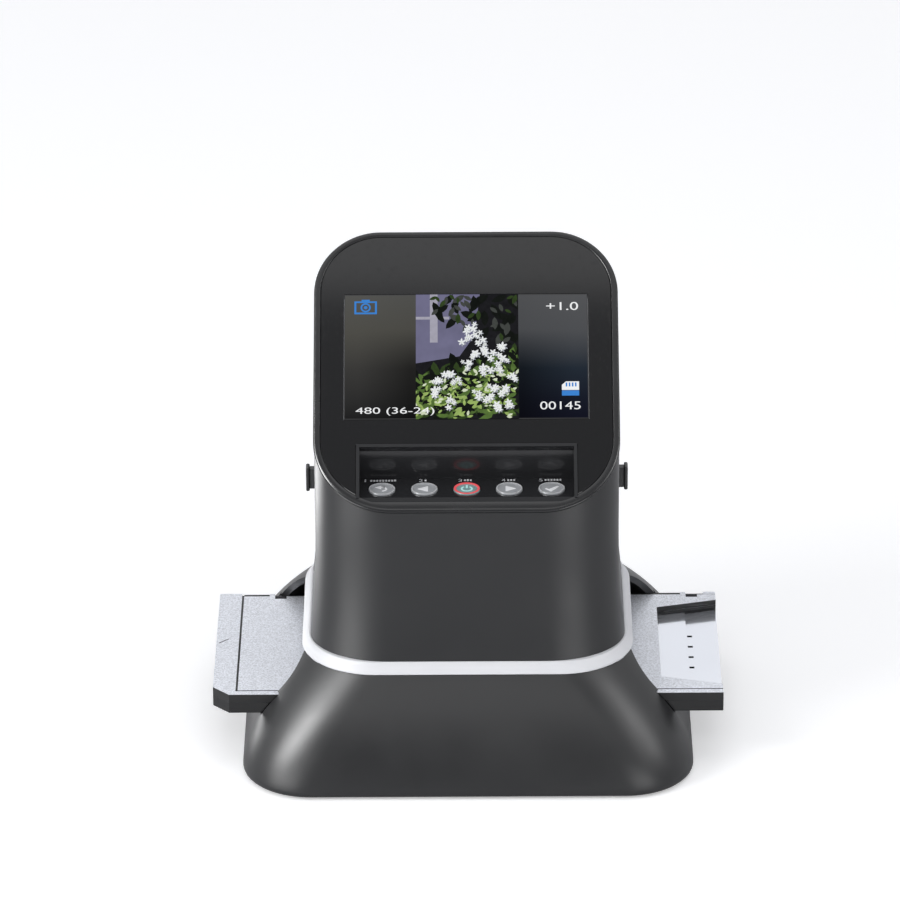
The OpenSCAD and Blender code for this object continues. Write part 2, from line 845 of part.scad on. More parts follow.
// The tray-like well: level shelf, upright rear wall, side walls and a raised frame over its mouth,
// with a ledge behind the frame that carries the window's edge
module key_well() {
    wall_x = well_w / 2 + well_wall;
    wall_from = shelf_front + corner_relief;
    wall_to = well_back + well_wall;
    ledge = 2.9;
    placed() color("#2b2c2f")
        difference() {
            union() {
                difference() {
                    union() {
                        block([-wall_x, wall_x], [wall_from, wall_to], [shelf_z - shelf_t, lip_z + 40]);
                        block([-well_w / 2, well_w / 2], [shelf_front, wall_to],
                            [shelf_z - shelf_t, shelf_z]);
                    }
                    block([-well_w / 2, well_w / 2], [shelf_front - over, well_back], [shelf_z, lip_z + 50]);
                    on_face()
                        translate([-tower_w, -tower_w / 2, -window_t])
                            cube([2 * tower_w, 2 * tower_w, tower_w]);
                }
                on_face()
                    translate([-wall_x + 0.5, well_to, -window_t - ledge_t])
                        cube([2 * wall_x - 1, ledge, ledge_t]);
                on_face()
                    translate([-well_w / 2 - frame_w, well_to, -window_t - 0.5])
                        cube([well_w + 2 * frame_w, frame_w, window_t + 0.5 + frame_h]);
                for (s = [-1, 1])
                    on_face()
                        translate([s * (well_w + frame_w + fit) / 2 - (frame_w - fit) / 2, well_from + 1,
                            -window_t - 0.5])
                            cube([frame_w - fit, well_to + frame_w - well_from - 1,
                                window_t + 0.5 + frame_h]);
                for (s = [-1, 1], y = key_post_y)
                    post(s * key_post_x, y, 4, key_board_top, shelf_z - 0.5);
            }
            at_keys()
                post(0, 0, key_d + 2 * key_play, shelf_z - shelf_t - over, shelf_z + over);
        }
}

module key_board() {
    placed() color(circuit)
        block([-key_board_x, key_board_x], [key_y - key_board_y[0], key_y + key_board_y[1]],
            [key_board_top - board_t, key_board_top]);
}

switch_w = 6;

module key_switches() {
    placed() color("#303236")
        at_keys() {
            slab(switch_w, switch_w, key_board_top, key_board_top + switch_h - 0.8);
            post(0, 0, 3, key_board_top + switch_h - 1, switch_top);
        }
}

// One key: a domed cap that slides in the shelf, a flange that stops it and a stem over its switch
module key(place, shade) {
    dome_r = (key_r * key_r + key_dome * key_dome) / (2 * key_dome);
    top = shelf_z + key_proud + key_dome;
    flange_top_z = shelf_z - shelf_t - 0.05;
    placed() color(shade)
        translate([place * key_pitch, key_y, 0]) {
            intersection() {
                post(0, 0, key_d, flange_top_z - flange_t / 2, top);
                translate([0, 0, top - dome_r])
                    sphere(r = dome_r, $fn = 192);
            }
            post(0, 0, key_d + 2, flange_top_z - flange_t, flange_top_z);
            post(0, 0, 3, key_stem_end, flange_top_z - flange_t / 2);
        }
}

module cancel_key() {
    key(-2, "#a9abb0");
}

module left_key() {
    key(-1, "#a9abb0");
}

module power_key() {
    key(0, "#9aa08f");
}

module right_key() {
    key(1, "#a9abb0");
}

module confirm_key() {
    key(2, "#a9abb0");
}

/* Camera */

carriage_top = carriage_z + carriage_t;
lug_x = rod_span / 2 + 4.5;
bush_d = rod_d + 4;
carriage_y = [-18, rod_y + bush_d / 2 + 3.5];
camera_board_size = [40, 34];

module lens_carriage() {
    placed() color("#2e3034")
        difference() {
            union() {
                block([-lug_x, lug_x], carriage_y, [carriage_z, carriage_top]);
                for (s = [-1, 1]) {
                    translate([s * (lug_x - 1.75), 0, 0])
                        slab(3.5, 8, carriage_z, tab_z + stem_h / 2);
                    post(s * rod_span / 2, rod_y, bush_d, carriage_z, carriage_z + 12);
                }
            }
            post(0, 0, barrel_d + fit, carriage_z - over, carriage_top + over);
            for (s = [-1, 1])
                post(s * rod_span / 2, rod_y, rod_d + 2 * rod_play, carriage_z - over, carriage_z + 13);
        }
}

module finger_tab(side) {
    outer = half_w + tab_reach;
    placed() color("#45474b")
        mirror([side > 0 ? 0 : 1, 0, 0]) {
            block([lug_x, outer - tab_t / 2], [-stem_t / 2, stem_t / 2],
                [tab_z - stem_h / 2, tab_z + stem_h / 2]);
            translate([outer - tab_t, 0, tab_z])
                rotate([90, 0, 90])
                    linear_extrude(tab_t)
                        rounded_rect(tab_d, tab_h, 0.8);
        }
}

module left_tab() {
    finger_tab(-1);
}

module right_tab() {
    finger_tab(1);
}

barrel_bore = barrel_d - 6;
lens_step = 1.6;

module lens_barrel() {
    placed() color("#1d1e20")
        difference() {
            union() {
                post(0, 0, barrel_d, lens_z, carriage_top + eps);
                post(0, 0, flange_d, carriage_top, carriage_top + 2);
            }
            post(0, 0, barrel_bore, lens_z + lens_step, carriage_top + 3);
            post(0, 0, barrel_bore - 2, lens_z - over, lens_z + lens_step + over);
        }
}

// A lens element: a disc with its lower face bulging down
module element(z, thick, bulge) {
    r = barrel_bore / 2 - 0.03;
    ball = (r * r + bulge * bulge) / (2 * bulge);
    intersection() {
        post(0, 0, 2 * r, z, z + thick);
        translate([0, 0, z + ball])
            sphere(r = ball, $fn = 192);
    }
}

module lens_glass() {
    placed() color("#8fa6b8") {
        element(lens_z + lens_step, 4, 1.2);
        element(lens_z + lens_step + 9, 3, 0.8);
    }
}

module camera_board() {
    placed() color(circuit)
        slab(camera_board_size[0], camera_board_size[1], carriage_top + 2, carriage_top + 2 + board_t);
}

module image_sensor() {
    placed() color("#20242a")
        slab(12, 9, carriage_top + 0.8, carriage_top + 2);
}

/* Film holder */

left_end = -holder_l / 2;
right_end = holder_l / 2;
lid_z = holder_top - lid_t;
lid_front = -holder_w / 2 + holder_rim + lid_gap;
lid_back = holder_w / 2 - hinge_strip - 0.2;
pin_y = holder_w / 2 - hinge_strip / 2;
pin_z = holder_top - 1.25;
hinge_span = [left_end + end_block, right_end - 5];
ears = [left_end + 20.1, right_end - 14.2];
notch_l = 4.6;       // notch in the lid beside an ear
notch_d = 2.2;
knuckle_w = 6;
mark_pitch = 8.9;
groove_l = 5.1;      // slanting groove in the left end
magnet_d = 5;
magnet_t = 1.1;
magnet_x = 70;
magnet_y = lid_front + 4;

module funnel(z0, z1) {
    translate([0, 0, z0])
        linear_extrude(z1 - z0)
            polygon([[right_end - funnel_l, -funnel_w / 2], [right_end + over, -funnel_end / 2],
                [right_end + over, funnel_end / 2], [right_end - funnel_l, funnel_w / 2]]);
}

// The film's way through the base, which opens out at the right end
module film_way(z) {
    block([left_end + end_block + 4, right_end + over], [-channel_w / 2, channel_w / 2],
        [z, holder_top + over]);
    funnel(z, holder_top + over);
}

module magnets(z0, grow = 0) {
    for (s = [-1, 1])
        post(s * magnet_x, magnet_y, magnet_d + 2 * grow, z0, z0 + magnet_t + grow);
}

module holder_base() {
    w = holder_w / 2;
    placed() color("#b4b7be")
        difference() {
            translate([0, 0, holder_z])
                linear_extrude(holder_h)
                    polygon([[left_end + holder_chamfer, -w], [right_end, -w], [right_end, w], [left_end, w],
                        [left_end, holder_chamfer - w]]);
            block([left_end + end_block, right_end + over], [holder_rim - w, w - hinge_strip],
                [lid_z - fit, holder_top + over]);
            film_way(channel_floor);
            intersection() {
                film_way(channel_floor - end_drop);
                block([right_end - end_l, right_end + 2 * over], [-w, w], [0, 2 * holder_top]);
            }
            slab(window_l, window_w, holder_z - over, holder_top);
            translate([left_end + 3, 2.2, holder_top - 0.35])
                rotate([0, 0, 42])
                    slab(groove_l, 0.45, 0, over);
            // Hinge trough, interrupted by the middle knuckles
            difference() {
                block(hinge_span, [w - hinge_strip - eps, w + over], [holder_z + 3, holder_top + over]);
                for (s = [-1, 1])
                    translate([s * 20, 0, 0])
                        block([-knuckle_w / 2, knuckle_w / 2], [w - hinge_strip - over, w + 2 * over],
                            [holder_z, holder_top + 2 * over]);
            }
            along_x(hinge_span[0] - 4, hinge_span[1] + 4, pin_d + 0.06);
            magnets(lid_z - fit - magnet_t, fit / 2);
            for (y = [-1.5 : 1.5])
                translate([right_end - 11.3, y * mark_pitch, 0])
                    slab(2, 1.5, holder_z - over, holder_top);
            for (s = [-1, 1], i = [-1 : 1])
                post(i * 30, s * spring_y, spring_d + 0.6, holder_z - over, holder_z + 0.6);
        }
}

module along_x(x0, x1, d) {
    translate([x0, pin_y, pin_z])
        rotate([0, 90, 0])
            cylinder(d = d, h = x1 - x0);
}

module holder_lid() {
    placed() color("#c3c6cd")
        difference() {
            union() {
                block([left_end + end_block + 0.8, right_end], [lid_front, lid_back], [lid_z, holder_top]);
                block([left_end + end_block + 6, right_end - funnel_l - 1],
                    [-channel_w / 2 + 0.4, channel_w / 2 - 0.4], [channel_floor + 0.3, lid_z + eps]);
                for (x = ears)
                    block([x, x + ear_w], [lid_back - eps, holder_w / 2 - 0.05], [lid_z, holder_top - 0.1]);
            }
            for (x = ears)
                block([x + ear_w, x + ear_w + notch_l], [lid_back - notch_d, lid_back + over],
                    [lid_z - over, holder_top + over]);
            slab(window_l, window_w, holder_z, holder_top + over);
            funnel(holder_z, holder_top + over);
            along_x(left_end, right_end, pin_d + 0.06);
            magnets(lid_z - eps, fit / 2);
        }
}

module hinge_pin() {
    placed() color(steel)
        along_x(hinge_span[0] - 4, hinge_span[1] + 4, pin_d);
}

module holder_magnets() {
    placed() color("#8d9096") {
        magnets(lid_z - fit - magnet_t);
        magnets(lid_z);
    }
}

base_plate();
rubber_feet();
bottom_screws();
base_skirt();
silver_band();
film_tunnel();
upper_gate();
light_box();
led_board();
light_leds();
diffuser();
detent_springs();
chassis();
guide_rods();
tower_front();
tower_rear();
rear_screws();
connector_board();
usb_socket();
card_socket();
video_socket();
head_rim();
front_window();
display_module();
display_screen();
main_board();
main_board_screws();
key_well();
key_board();
key_switches();
cancel_key();
left_key();
power_key();
right_key();
confirm_key();
lens_carriage();
left_tab();
right_tab();
lens_barrel();
lens_glass();
camera_board();
image_sensor();
holder_base();
holder_lid();
hinge_pin();
holder_magnets();
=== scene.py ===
"""Looks of the film negative scanner: shells, head, keys, screen, film holder, studio and camera.

Pieces are drawn in millimetres about the film's middle line; fit() moves them to their place in the CAD box.
"""

import json
import random
from math import asin, cos, degrees, radians, sin, sqrt, tan, tau

import bmesh
import bpy
from mathutils import Matrix, Vector

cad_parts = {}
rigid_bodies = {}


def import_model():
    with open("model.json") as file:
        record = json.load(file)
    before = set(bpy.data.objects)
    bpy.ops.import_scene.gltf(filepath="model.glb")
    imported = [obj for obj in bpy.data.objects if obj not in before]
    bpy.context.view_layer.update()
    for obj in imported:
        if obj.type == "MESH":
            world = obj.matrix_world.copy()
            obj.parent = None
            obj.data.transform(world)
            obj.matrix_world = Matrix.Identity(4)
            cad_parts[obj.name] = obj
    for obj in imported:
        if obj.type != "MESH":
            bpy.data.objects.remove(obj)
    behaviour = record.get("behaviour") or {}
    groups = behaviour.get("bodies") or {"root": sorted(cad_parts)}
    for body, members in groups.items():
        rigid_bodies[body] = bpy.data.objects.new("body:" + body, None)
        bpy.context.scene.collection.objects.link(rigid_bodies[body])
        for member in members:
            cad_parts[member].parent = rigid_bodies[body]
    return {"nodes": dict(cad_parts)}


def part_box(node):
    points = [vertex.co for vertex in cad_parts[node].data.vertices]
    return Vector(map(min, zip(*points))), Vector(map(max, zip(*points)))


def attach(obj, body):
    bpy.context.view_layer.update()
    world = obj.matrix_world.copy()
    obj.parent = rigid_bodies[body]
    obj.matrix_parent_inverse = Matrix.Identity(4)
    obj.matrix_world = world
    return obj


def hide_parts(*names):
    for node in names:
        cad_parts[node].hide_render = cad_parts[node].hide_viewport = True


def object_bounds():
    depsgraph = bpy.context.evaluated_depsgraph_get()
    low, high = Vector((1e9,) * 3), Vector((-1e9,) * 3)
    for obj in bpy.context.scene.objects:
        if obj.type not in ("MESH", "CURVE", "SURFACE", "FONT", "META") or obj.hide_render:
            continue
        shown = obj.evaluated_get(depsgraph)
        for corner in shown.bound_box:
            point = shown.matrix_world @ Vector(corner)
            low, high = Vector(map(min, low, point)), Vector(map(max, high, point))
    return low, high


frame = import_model()
CAD_BOX = [list(corner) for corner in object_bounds()]

MM = 0.001
CLOSE = 1e-6

# ---- sizes, in millimetres, as in the CAD source

# Head: the sloping face, its corners, the rim around it and the glossy window
SLOPE, LIP_Z, HEAD_LEN = radians(39.5), 111.6, 119.7
SIN, COS, TAN = sin(SLOPE), cos(SLOPE), tan(SLOPE)
R_LOW, R_TOP = 30.0, 26.0
RIM_H, RIM_W, RIM_EDGE, PROUD = 5.0, 2.3, 1.0, 0.35
WINDOW_T, GAP = 2.0, 0.15
# Tower
HALF_W, TOWER_FRONT, TOWER_WALL = 59.1, 46.4, 2.6
WAIST_Z, FLARE_X, FLARE_Y, BACK_LEAN = 92.0, 2.6, 4.2, 3.0
SPLIT_Y, SEAM = 24.0, 0.3
HEAD_BACK = -TOWER_FRONT + HEAD_LEN * COS
# Silver band and base skirt
BAND_Z, BAND_H, BAND_W, BAND_D, BAND_R, BAND_LEAN = 43.2, 4.4, 130.0, 107.0, 29.0, 2.6
BASE_W, BASE_D, BASE_R, FLARE_POWER, REAR_MORE = 177.0, 151.5, 27.5, 1.6, 5.0
SKIRT_WALL, SKIRT_EDGE, FOOT_H = 3.0, 1.2, 1.0
TOWER_Z0 = BAND_Z + BAND_H
# Opening in each side of the skirt: a slot for the film holder, and the arch over it
SLOT_LOW, SLOT_HIGH, SLOT_HALF = 21.2, 30.4, 44.3
ARCH_FOOT, ARCH_TOP, ARCH_POWER = 42.0, 32.0, 2.2
# Film holder
HOLDER_TOP, HOLDER_W, HOLDER_L, CHANNEL_FLOOR = 29.8, 87.2, 200.0, 25.9
LID_LEFT, LID_FRONT, LID_BACK = -90.2, -HOLDER_W / 2 + 3.6, HOLDER_W / 2 - 2.4
EAR_LEFT, EAR_RIGHT = -79.9, 85.8
# Finger tabs, and the slots that their stems slide in
TAB_Z, TAB_TRAVEL, TAB_H, TAB_D, TAB_T = 103.0, 30.0, 10.0, 5.0, 1.5
STEM_H, STEM_T, STEM_PLAY = 8.5, 3.4, 0.4
# Keys and their well
KEY_PITCH, KEY_R, KEY_Y = 16.4, 5.15, -TOWER_FRONT + 12.6
WELL_W, WELL_FROM, WELL_TO, FRAME_W = 82.8, 3.7, 26.3, 1.3
SHELF_Z = LIP_Z + WELL_FROM * SIN - 0.2
SHELF_FRONT = -TOWER_FRONT + WELL_FROM * COS - 0.2
# Screen, from the face's lower edge
SCREEN_W, SCREEN_H, SCREEN_FROM = 95.0, 53.9, 38.3

FACE = Matrix.Translation((0, -TOWER_FRONT * MM, LIP_Z * MM)) @ Matrix.Rotation(SLOPE, 4, "X")
TO_MIDDLE = Matrix.Translation((0, -REAR_MORE / 2 * MM, 0))


def face_z(y, depth=0.0):
    """Height of the sloping face above a place y, at a depth below the face."""
    return LIP_Z + (y + TOWER_FRONT) * TAN - depth / COS


def fit(piece, body, node=None):
    """Moves a piece to its place in the CAD box and lets it ride; node is the solid that it replaces."""
    piece.data.transform(TO_MIDDLE)
    for vertex in piece.data.vertices:
        vertex.co = [min(max(place, low), high) for place, low, high in zip(vertex.co, *CAD_BOX)]
    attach(piece, body)
    if node:
        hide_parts(node)


# ---- mesh helpers


def assign(thing, **settings):
    for key, value in settings.items():
        setattr(thing, key, value)
    return thing


def linked(name, data):
    thing = bpy.data.objects.new(name, data)
    bpy.context.scene.collection.objects.link(thing)
    return thing


def new_piece(name, verts, faces, finish, smooth=True):
    """A mesh drawn in millimetres, with the material of that finish."""
    mesh = bpy.data.meshes.new(name)
    mesh.from_pydata([tuple(c * MM for c in v) for v in verts], [], faces)
    mesh.update()
    mesh.materials.append(MATS[finish])
    for poly in mesh.polygons:
        poly.use_smooth = smooth
    return linked(name, mesh)


def clean(piece, loose=False):
    """Joins coincident points and turns the faces outwards, or only drops the points that no face uses."""
    bm = bmesh.new()
    bm.from_mesh(piece.data)
    if loose:
        bmesh.ops.delete(bm, geom=[v for v in bm.verts if not v.link_faces], context="VERTS")
    else:
        bmesh.ops.remove_doubles(bm, verts=bm.verts, dist=1e-7)
        bmesh.ops.recalc_face_normals(bm, faces=bm.faces)
    bm.to_mesh(piece.data)
    bm.free()


def bevel(piece, width, segments=3, angle=35.0):
    assign(piece.modifiers.new("edge", "BEVEL"), width=width * MM, segments=segments, limit_method="ANGLE",
           angle_limit=radians(angle), harden_normals=True, use_clamp_overlap=True)


def solidify(piece, thickness):
    """Gives a shell its wall, inwards."""
    assign(piece.modifiers.new("wall", "SOLIDIFY"), thickness=thickness * MM, offset=-1.0, use_even_offset=True,
           use_rim=True)


def cut(piece, cutters):
    """Cuts simple solids out of a piece, after its other modifiers, and removes them."""
    for cutter in cutters:
        assign(piece.modifiers.new("cut", "BOOLEAN"), operation="DIFFERENCE", solver="EXACT", object=cutter)
    mesh = bpy.data.meshes.new_from_object(piece.evaluated_get(bpy.context.evaluated_depsgraph_get()))
    piece.modifiers.clear()
    piece.data = mesh
    for cutter in cutters:
        bpy.data.objects.remove(cutter, do_unlink=True)


def grid_faces(rows, columns, wrap=True, skip=None):
    """Faces between neighbouring rows of points; skip(row, column) says which are left out."""
    faces = []
    for i in range(rows - 1):
        for j in range(columns if wrap else columns - 1):
            if not (skip and skip(i, j)):
                a, b, k = i * columns, (i + 1) * columns, (j + 1) % columns
                faces.append((a + j, a + k, b + k, b + j))
    return faces


def loft(name, rings, finish, close=False, caps=False, smooth=True):
    """Skin over closed rings of points; close joins the last ring to the first."""
    if close:
        rings = rings + rings[:1]
    count, n = len(rings), len(rings[0])
    faces = grid_faces(count, n)
    if caps:
        faces += [tuple(reversed(range(n))), tuple((count - 1) * n + j for j in range(n))]
    piece = new_piece(name, [p for ring in rings for p in ring], faces, finish, smooth)
    clean(piece)
    return piece


def prism(name, points, z0, z1, finish, centre=(0.0, 0.0), smooth=False):
    """Upright prism over an outline that is drawn about its centre."""
    rings = [[(centre[0] + x, centre[1] + y, z) for x, y in points] for z in (z0, z1)]
    return loft(name, rings, finish, caps=True, smooth=smooth)


def box(name, lo, hi, finish, edge=0.0, segments=3):
    piece = prism(name, rect(*lo[:2], *hi[:2]), lo[2], hi[2], finish, smooth=True)
    if edge:
        bevel(piece, edge, segments)
    return piece


def revolve(name, profile, finish, centre, z0, n=64):
    """Solid of revolution about an upright axis; the profile runs from the axis on top to the axis below."""
    rings = [[(*polar(r, 360.0 * i / n, *centre), z0 + z) for i in range(n)] for r, z in profile]
    piece = loft(name, rings, finish)
    piece.data.set_sharp_from_angle(angle=radians(42))
    return piece


def on_face(piece):
    """Moves a piece that was drawn flat into the frame of the sloping face."""
    piece.data.transform(FACE)
    return piece


# ---- outlines


def spread(a, b, n):
    return [a + (b - a) * i / n for i in range(n)]


def polar(r, angle, cx=0.0, cy=0.0):
    a = radians(angle)
    return cx + r * cos(a), cy + r * sin(a)


def arc(r, a0, a1, n, cx=0.0, cy=0.0):
    return [polar(r, a0 + (a1 - a0) * i / n, cx, cy) for i in range(n + 1)]


def bow(r_out, r_in, a0, a1, n):
    """Part of a ring."""
    return arc(r_out, a0, a1, n) + arc(r_in, a1, a0, n)


def rect(x0, y0, x1, y1):
    return [(x0, y0), (x1, y0), (x1, y1), (x0, y1)]


def triangle(turn, reach=1.65, r=0.25):
    """Triangle with rounded corners that points to an angle."""
    return [p for a in (turn, turn + 120, turn + 240) for p in arc(r, a - 60, a + 60, 6, *polar(reach, a))]


def corner_angles(steps, extra=()):
    return sorted({90.0 * i / steps for i in range(steps + 1)} | set(extra))


def outline(half, front, back, low, top, side, flat, steps, extra=()):
    """Level outline, counter-clockwise from the right side's rear corner.

    low and top are the corners' sizes across and along, side holds places along a side from 0, front, to 1,
    rear, flat and steps count the parts of an end and of a corner, and extra holds more angles for the rear.
    """
    rear, fore = corner_angles(steps, extra), corner_angles(steps)
    hx, by = half - top[0], back - top[1]
    lx, fy = half - low[0], front + low[1]

    def corner(cx, cy, rx, ry, angles):
        return [(cx + rx * cos(a), cy + ry * sin(a)) for a in map(radians, angles)]

    pts = corner(hx, by, top[0], top[1], rear)
    pts += [(x, back) for x in spread(hx, -hx, flat)[1:]]
    pts += corner(-hx, by, -top[0], top[1], reversed(rear))
    pts += [(-half, fy + (by - fy) * s) for s in sorted(side, reverse=True)]
    pts += corner(-lx, fy, -low[0], -low[1], fore)
    pts += [(x, front) for x in spread(-lx, lx, flat)[1:]]
    pts += corner(lx, fy, low[0], -low[1], reversed(fore))
    return pts + [(half, fy + (by - fy) * s) for s in sorted(side)]


# ---- base skirt

# Columns of the skirt's mesh from a corner's middle to the slot, to the arch, and to the side's middle
SKIRT_COLUMNS = (7, 4, 8)
SKIRT_ROWS = (5.5, 8, 11, 14.5, 18, SLOT_LOW, 24, 27.5, SLOT_HIGH, 32, 34, 36, 38, 39.6, 41, 42.2, BAND_Z)


def skirt_ring(z, inset):
    """One level of the skirt, whose columns follow the edges of the opening in each side."""
    flare = 1 - ((z - FOOT_H) / (BAND_Z - FOOT_H)) ** FLARE_POWER
    w = (BAND_W + (BASE_W - BAND_W) * flare) / 2 - inset
    d = (BAND_D + (BASE_D - BAND_D) * flare) / 2 - inset
    r = BAND_R + (BASE_R - BAND_R) * flare - inset
    rise = min(1.0, max(0.0, (z - HOLDER_TOP) / (BAND_Z - HOLDER_TOP)))
    arch = ARCH_TOP + (ARCH_FOOT - ARCH_TOP) * (1 - rise ** ARCH_POWER)

    def side_points(depth):
        """From a corner's middle along the side to the side's middle."""
        straight = depth - r
        diagonal = straight + r * sin(radians(45))
        slot = min(SLOT_HALF, arch + 0.5 * (diagonal - arch))
        stops = (diagonal, slot, arch, 0.0)
        places = [y for n, a, b in zip(SKIRT_COLUMNS, stops, stops[1:]) for y in spread(a, b, n)]
        return [(w - r + sqrt(max(0.0, r * r - max(0.0, y - straight) ** 2)), y) for y in places]

    def end_points(depth):
        """From a corner's middle round the end to the other corner's middle."""
        turn = arc(r, 45, 90, 10, w - r, depth - r)[1:]
        return turn + [(x, depth) for x in spread(w - r, r - w, 8)[1:]] + [(-x, y) for x, y in reversed(turn)]

    fore, rear = side_points(d), side_points(d + REAR_MORE)
    right = [(x, -y) for x, y in fore] + [(w, 0.0)] + list(reversed(rear))
    left = [(-x, y) for x, y in rear] + [(-w, 0.0)] + [(-x, -y) for x, y in reversed(fore)]
    return right + end_points(d + REAR_MORE) + left + [(-x, -y) for x, y in end_points(d)]


def make_skirt():
    edge = [(FOOT_H + 2 * SKIRT_EDGE * (1 - cos(a)), SKIRT_EDGE * (1 - sin(a)))
            for a in [radians(18 * i) for i in range(6)]]
    rows = edge + [(z, 0.0) for z in SKIRT_ROWS]
    rings = [[(x, y, z) for x, y in skirt_ring(z, inset)] for z, inset in rows]
    n = len(rings[0])

    def opening(i, j):
        z = rows[i][0]
        start = sum(SKIRT_COLUMNS[:2 if z >= SLOT_HIGH - CLOSE else 1])
        return z >= SLOT_LOW - CLOSE and start <= j % (n // 2) < 2 * sum(SKIRT_COLUMNS) - start

    faces = grid_faces(len(rings), n, skip=opening)
    piece = new_piece("base_skirt_shell", [p for ring in rings for p in ring], faces, "housing_black")
    clean(piece, loose=True)
    solidify(piece, SKIRT_WALL - 0.4)
    bevel(piece, 0.55, 3, 50)
    fit(piece, "base", "base_skirt")


# ---- silver band


def make_band():
    soft, depth = 0.45, 6.0
    # Height and inset of each level, up the outside and back down the inside
    profile = [(0.0, soft), (0.04, 0.2), (0.18, 0.06), (soft, 0.02)]
    profile += [(BAND_H * t, BAND_LEAN * t) for t in (0.3, 0.6, 0.88)]
    profile += [(BAND_H - 0.3, BAND_LEAN), (BAND_H - 0.09, BAND_LEAN + 0.15), (BAND_H, BAND_LEAN + soft)]
    profile += [(BAND_H, depth), (0.0, depth)]
    rings = []
    for z, inset in profile:
        corner = (BAND_R - inset,) * 2
        pts = outline(BAND_W / 2 - inset, inset - BAND_D / 2, BAND_D / 2 + REAR_MORE - inset, corner, corner,
                      (0.5,), 4, 16)
        rings.append([(x, y, BAND_Z + z) for x, y in pts])
    piece = loft("band", rings, "band_silver", close=True)
    piece.data.set_sharp_from_angle(angle=radians(50))
    fit(piece, "base", "silver_band")


# ---- tower

SLOT_EDGE = STEM_T / 2 + STEM_PLAY
SLOT_Z = (TAB_Z - TAB_TRAVEL - STEM_H / 2 - STEM_PLAY, TAB_Z + STEM_H / 2 + STEM_PLAY)
SIDE_FRONT = -TOWER_FRONT + R_LOW * COS
SIDE_REAR = HEAD_BACK - R_TOP * COS
TOWER_SIDE = [(y - SIDE_FRONT) / (SIDE_REAR - SIDE_FRONT)
              for y in (-17, -10, -5, -SLOT_EDGE, SLOT_EDGE, 5, 11, 17)]
SEAM_Y = (SPLIT_Y - SEAM / 2, SPLIT_Y + SEAM / 2)
SEAM_ANGLES = [degrees(asin((y - SIDE_REAR) / (R_TOP * COS))) for y in SEAM_Y]
# Sockets behind the rear shell (middle, width and height of each opening) and the holes of its screws
SOCKET_Z, SOCKETS = 56.6, ((24.0, 9.2, 3.4), (-16.0, 25.0, 2.6), (7.0, 11.4, 3.4))
SCREW_R, SCREWS = 2.9, [(x, z) for z in (66.0, 106.0) for x in (-42.0, 42.0)]
SIDES = ((-1, "left"), (1, "right"))
# Behind the wall: depths of the strips at the seams and of the bristles, and the bristles' two rows
STRIP_BACK, LIP_HALF, LIP_BACK, BRUSH_BACK = 2.45, 2.5, 2.9, 2.95
BRISTLES = (("front", -3.3, -0.04), ("rear", 0.04, 3.3))


def rim_depth(y):
    """How deep the rim's side shows at a place: shallow at the front, deeper behind."""
    start = -TOWER_FRONT / 2
    return RIM_EDGE + (RIM_H - 1 - RIM_EDGE) * max(0.0, (y - start) / (HEAD_BACK - start))


def rim_z(y):
    """Height of the tower's upper edge, just below the rim."""
    return face_z(y, rim_depth(y) + SEAM)


def at_slot(y):
    return abs(y) < SLOT_EDGE + 0.01


def tower_point(x, y, t):
    """A point of the flared wall over a place x, y, from 0 at the band to 1 at the rim; the slots stay level."""
    high = rim_z(0.0 if at_slot(y) and t < 0.99 else y)
    z = TOWER_Z0 + t * (high - TOWER_Z0)
    f = (max(0.0, WAIST_Z - z) / (WAIST_Z - TOWER_Z0)) ** 2
    back = max(0.0, y) / HEAD_BACK * BACK_LEAN * (1 - t)
    return x * (1 + f * FLARE_X / HALF_W), y * (1 + f * FLARE_Y / TOWER_FRONT) + back, z


SLOT_FROM, SLOT_TO = ((z - TOWER_Z0) / (rim_z(0.0) - TOWER_Z0) for z in SLOT_Z)
TOWER_ROWS = (0, 0.012, 0.03, 0.06, 0.09, 0.125, 0.165, SLOT_FROM, 0.25, 0.3, 0.36, 0.43, 0.5, 0.56, SLOT_TO,
              0.7, 0.78, 0.86, 0.94, 0.99, 1)


def rear_cutters():
    cutters = []
    for i, (x, w, h) in enumerate(SOCKETS):
        lo, hi = (x - w / 2 - 0.1, 30, SOCKET_Z - 0.1), (x + w / 2 + 0.1, 60, SOCKET_Z + h + 0.1)
        cutters.append(box("cut_%d" % i, lo, hi, "housing_black"))
    for i, (x, z) in enumerate(SCREWS):
        circle = arc(SCREW_R, 45, -315, 32, x, z)[:-1]
        rings = [[(a, y, b) for a, b in circle] for y in (20, 70)]
        cutters.append(loft("cut_hole_%d" % i, rings, "housing_black", caps=True))
    return cutters


def make_tower():
    base = outline(HALF_W, -TOWER_FRONT, HEAD_BACK, (R_LOW, R_LOW * COS), (R_TOP, R_TOP * COS),
                   TOWER_SIDE, 8, 18, SEAM_ANGLES)
    n = len(base)
    (right, left), (first, last) = ([j for j in range(n) if abs(base[j][1] - y) < CLOSE] for y in SEAM_Y)
    shells = (("tower_front", [j % n for j in range(left, right + n + 1)]),
              ("tower_rear", list(range(first, last + 1))))
    for node, columns in shells:
        def slot(i, k):
            (x, y0), (_, y1) = base[columns[k]], base[columns[k + 1]]
            return (at_slot(y0) and at_slot(y1) and abs(x) > HALF_W - 1
                    and SLOT_FROM - CLOSE <= TOWER_ROWS[i] < SLOT_TO - CLOSE)

        verts = [tower_point(*base[j], t) for t in TOWER_ROWS for j in columns]
        faces = grid_faces(len(TOWER_ROWS), len(columns), wrap=False, skip=slot)
        piece = new_piece(node + "_shell", verts, faces, "housing_black")
        solidify(piece, TOWER_WALL - 0.2)
        if node == "tower_rear":
            cut(piece, rear_cutters())
        bevel(piece, 0.28, 3, 50)
        fit(piece, "base", node)


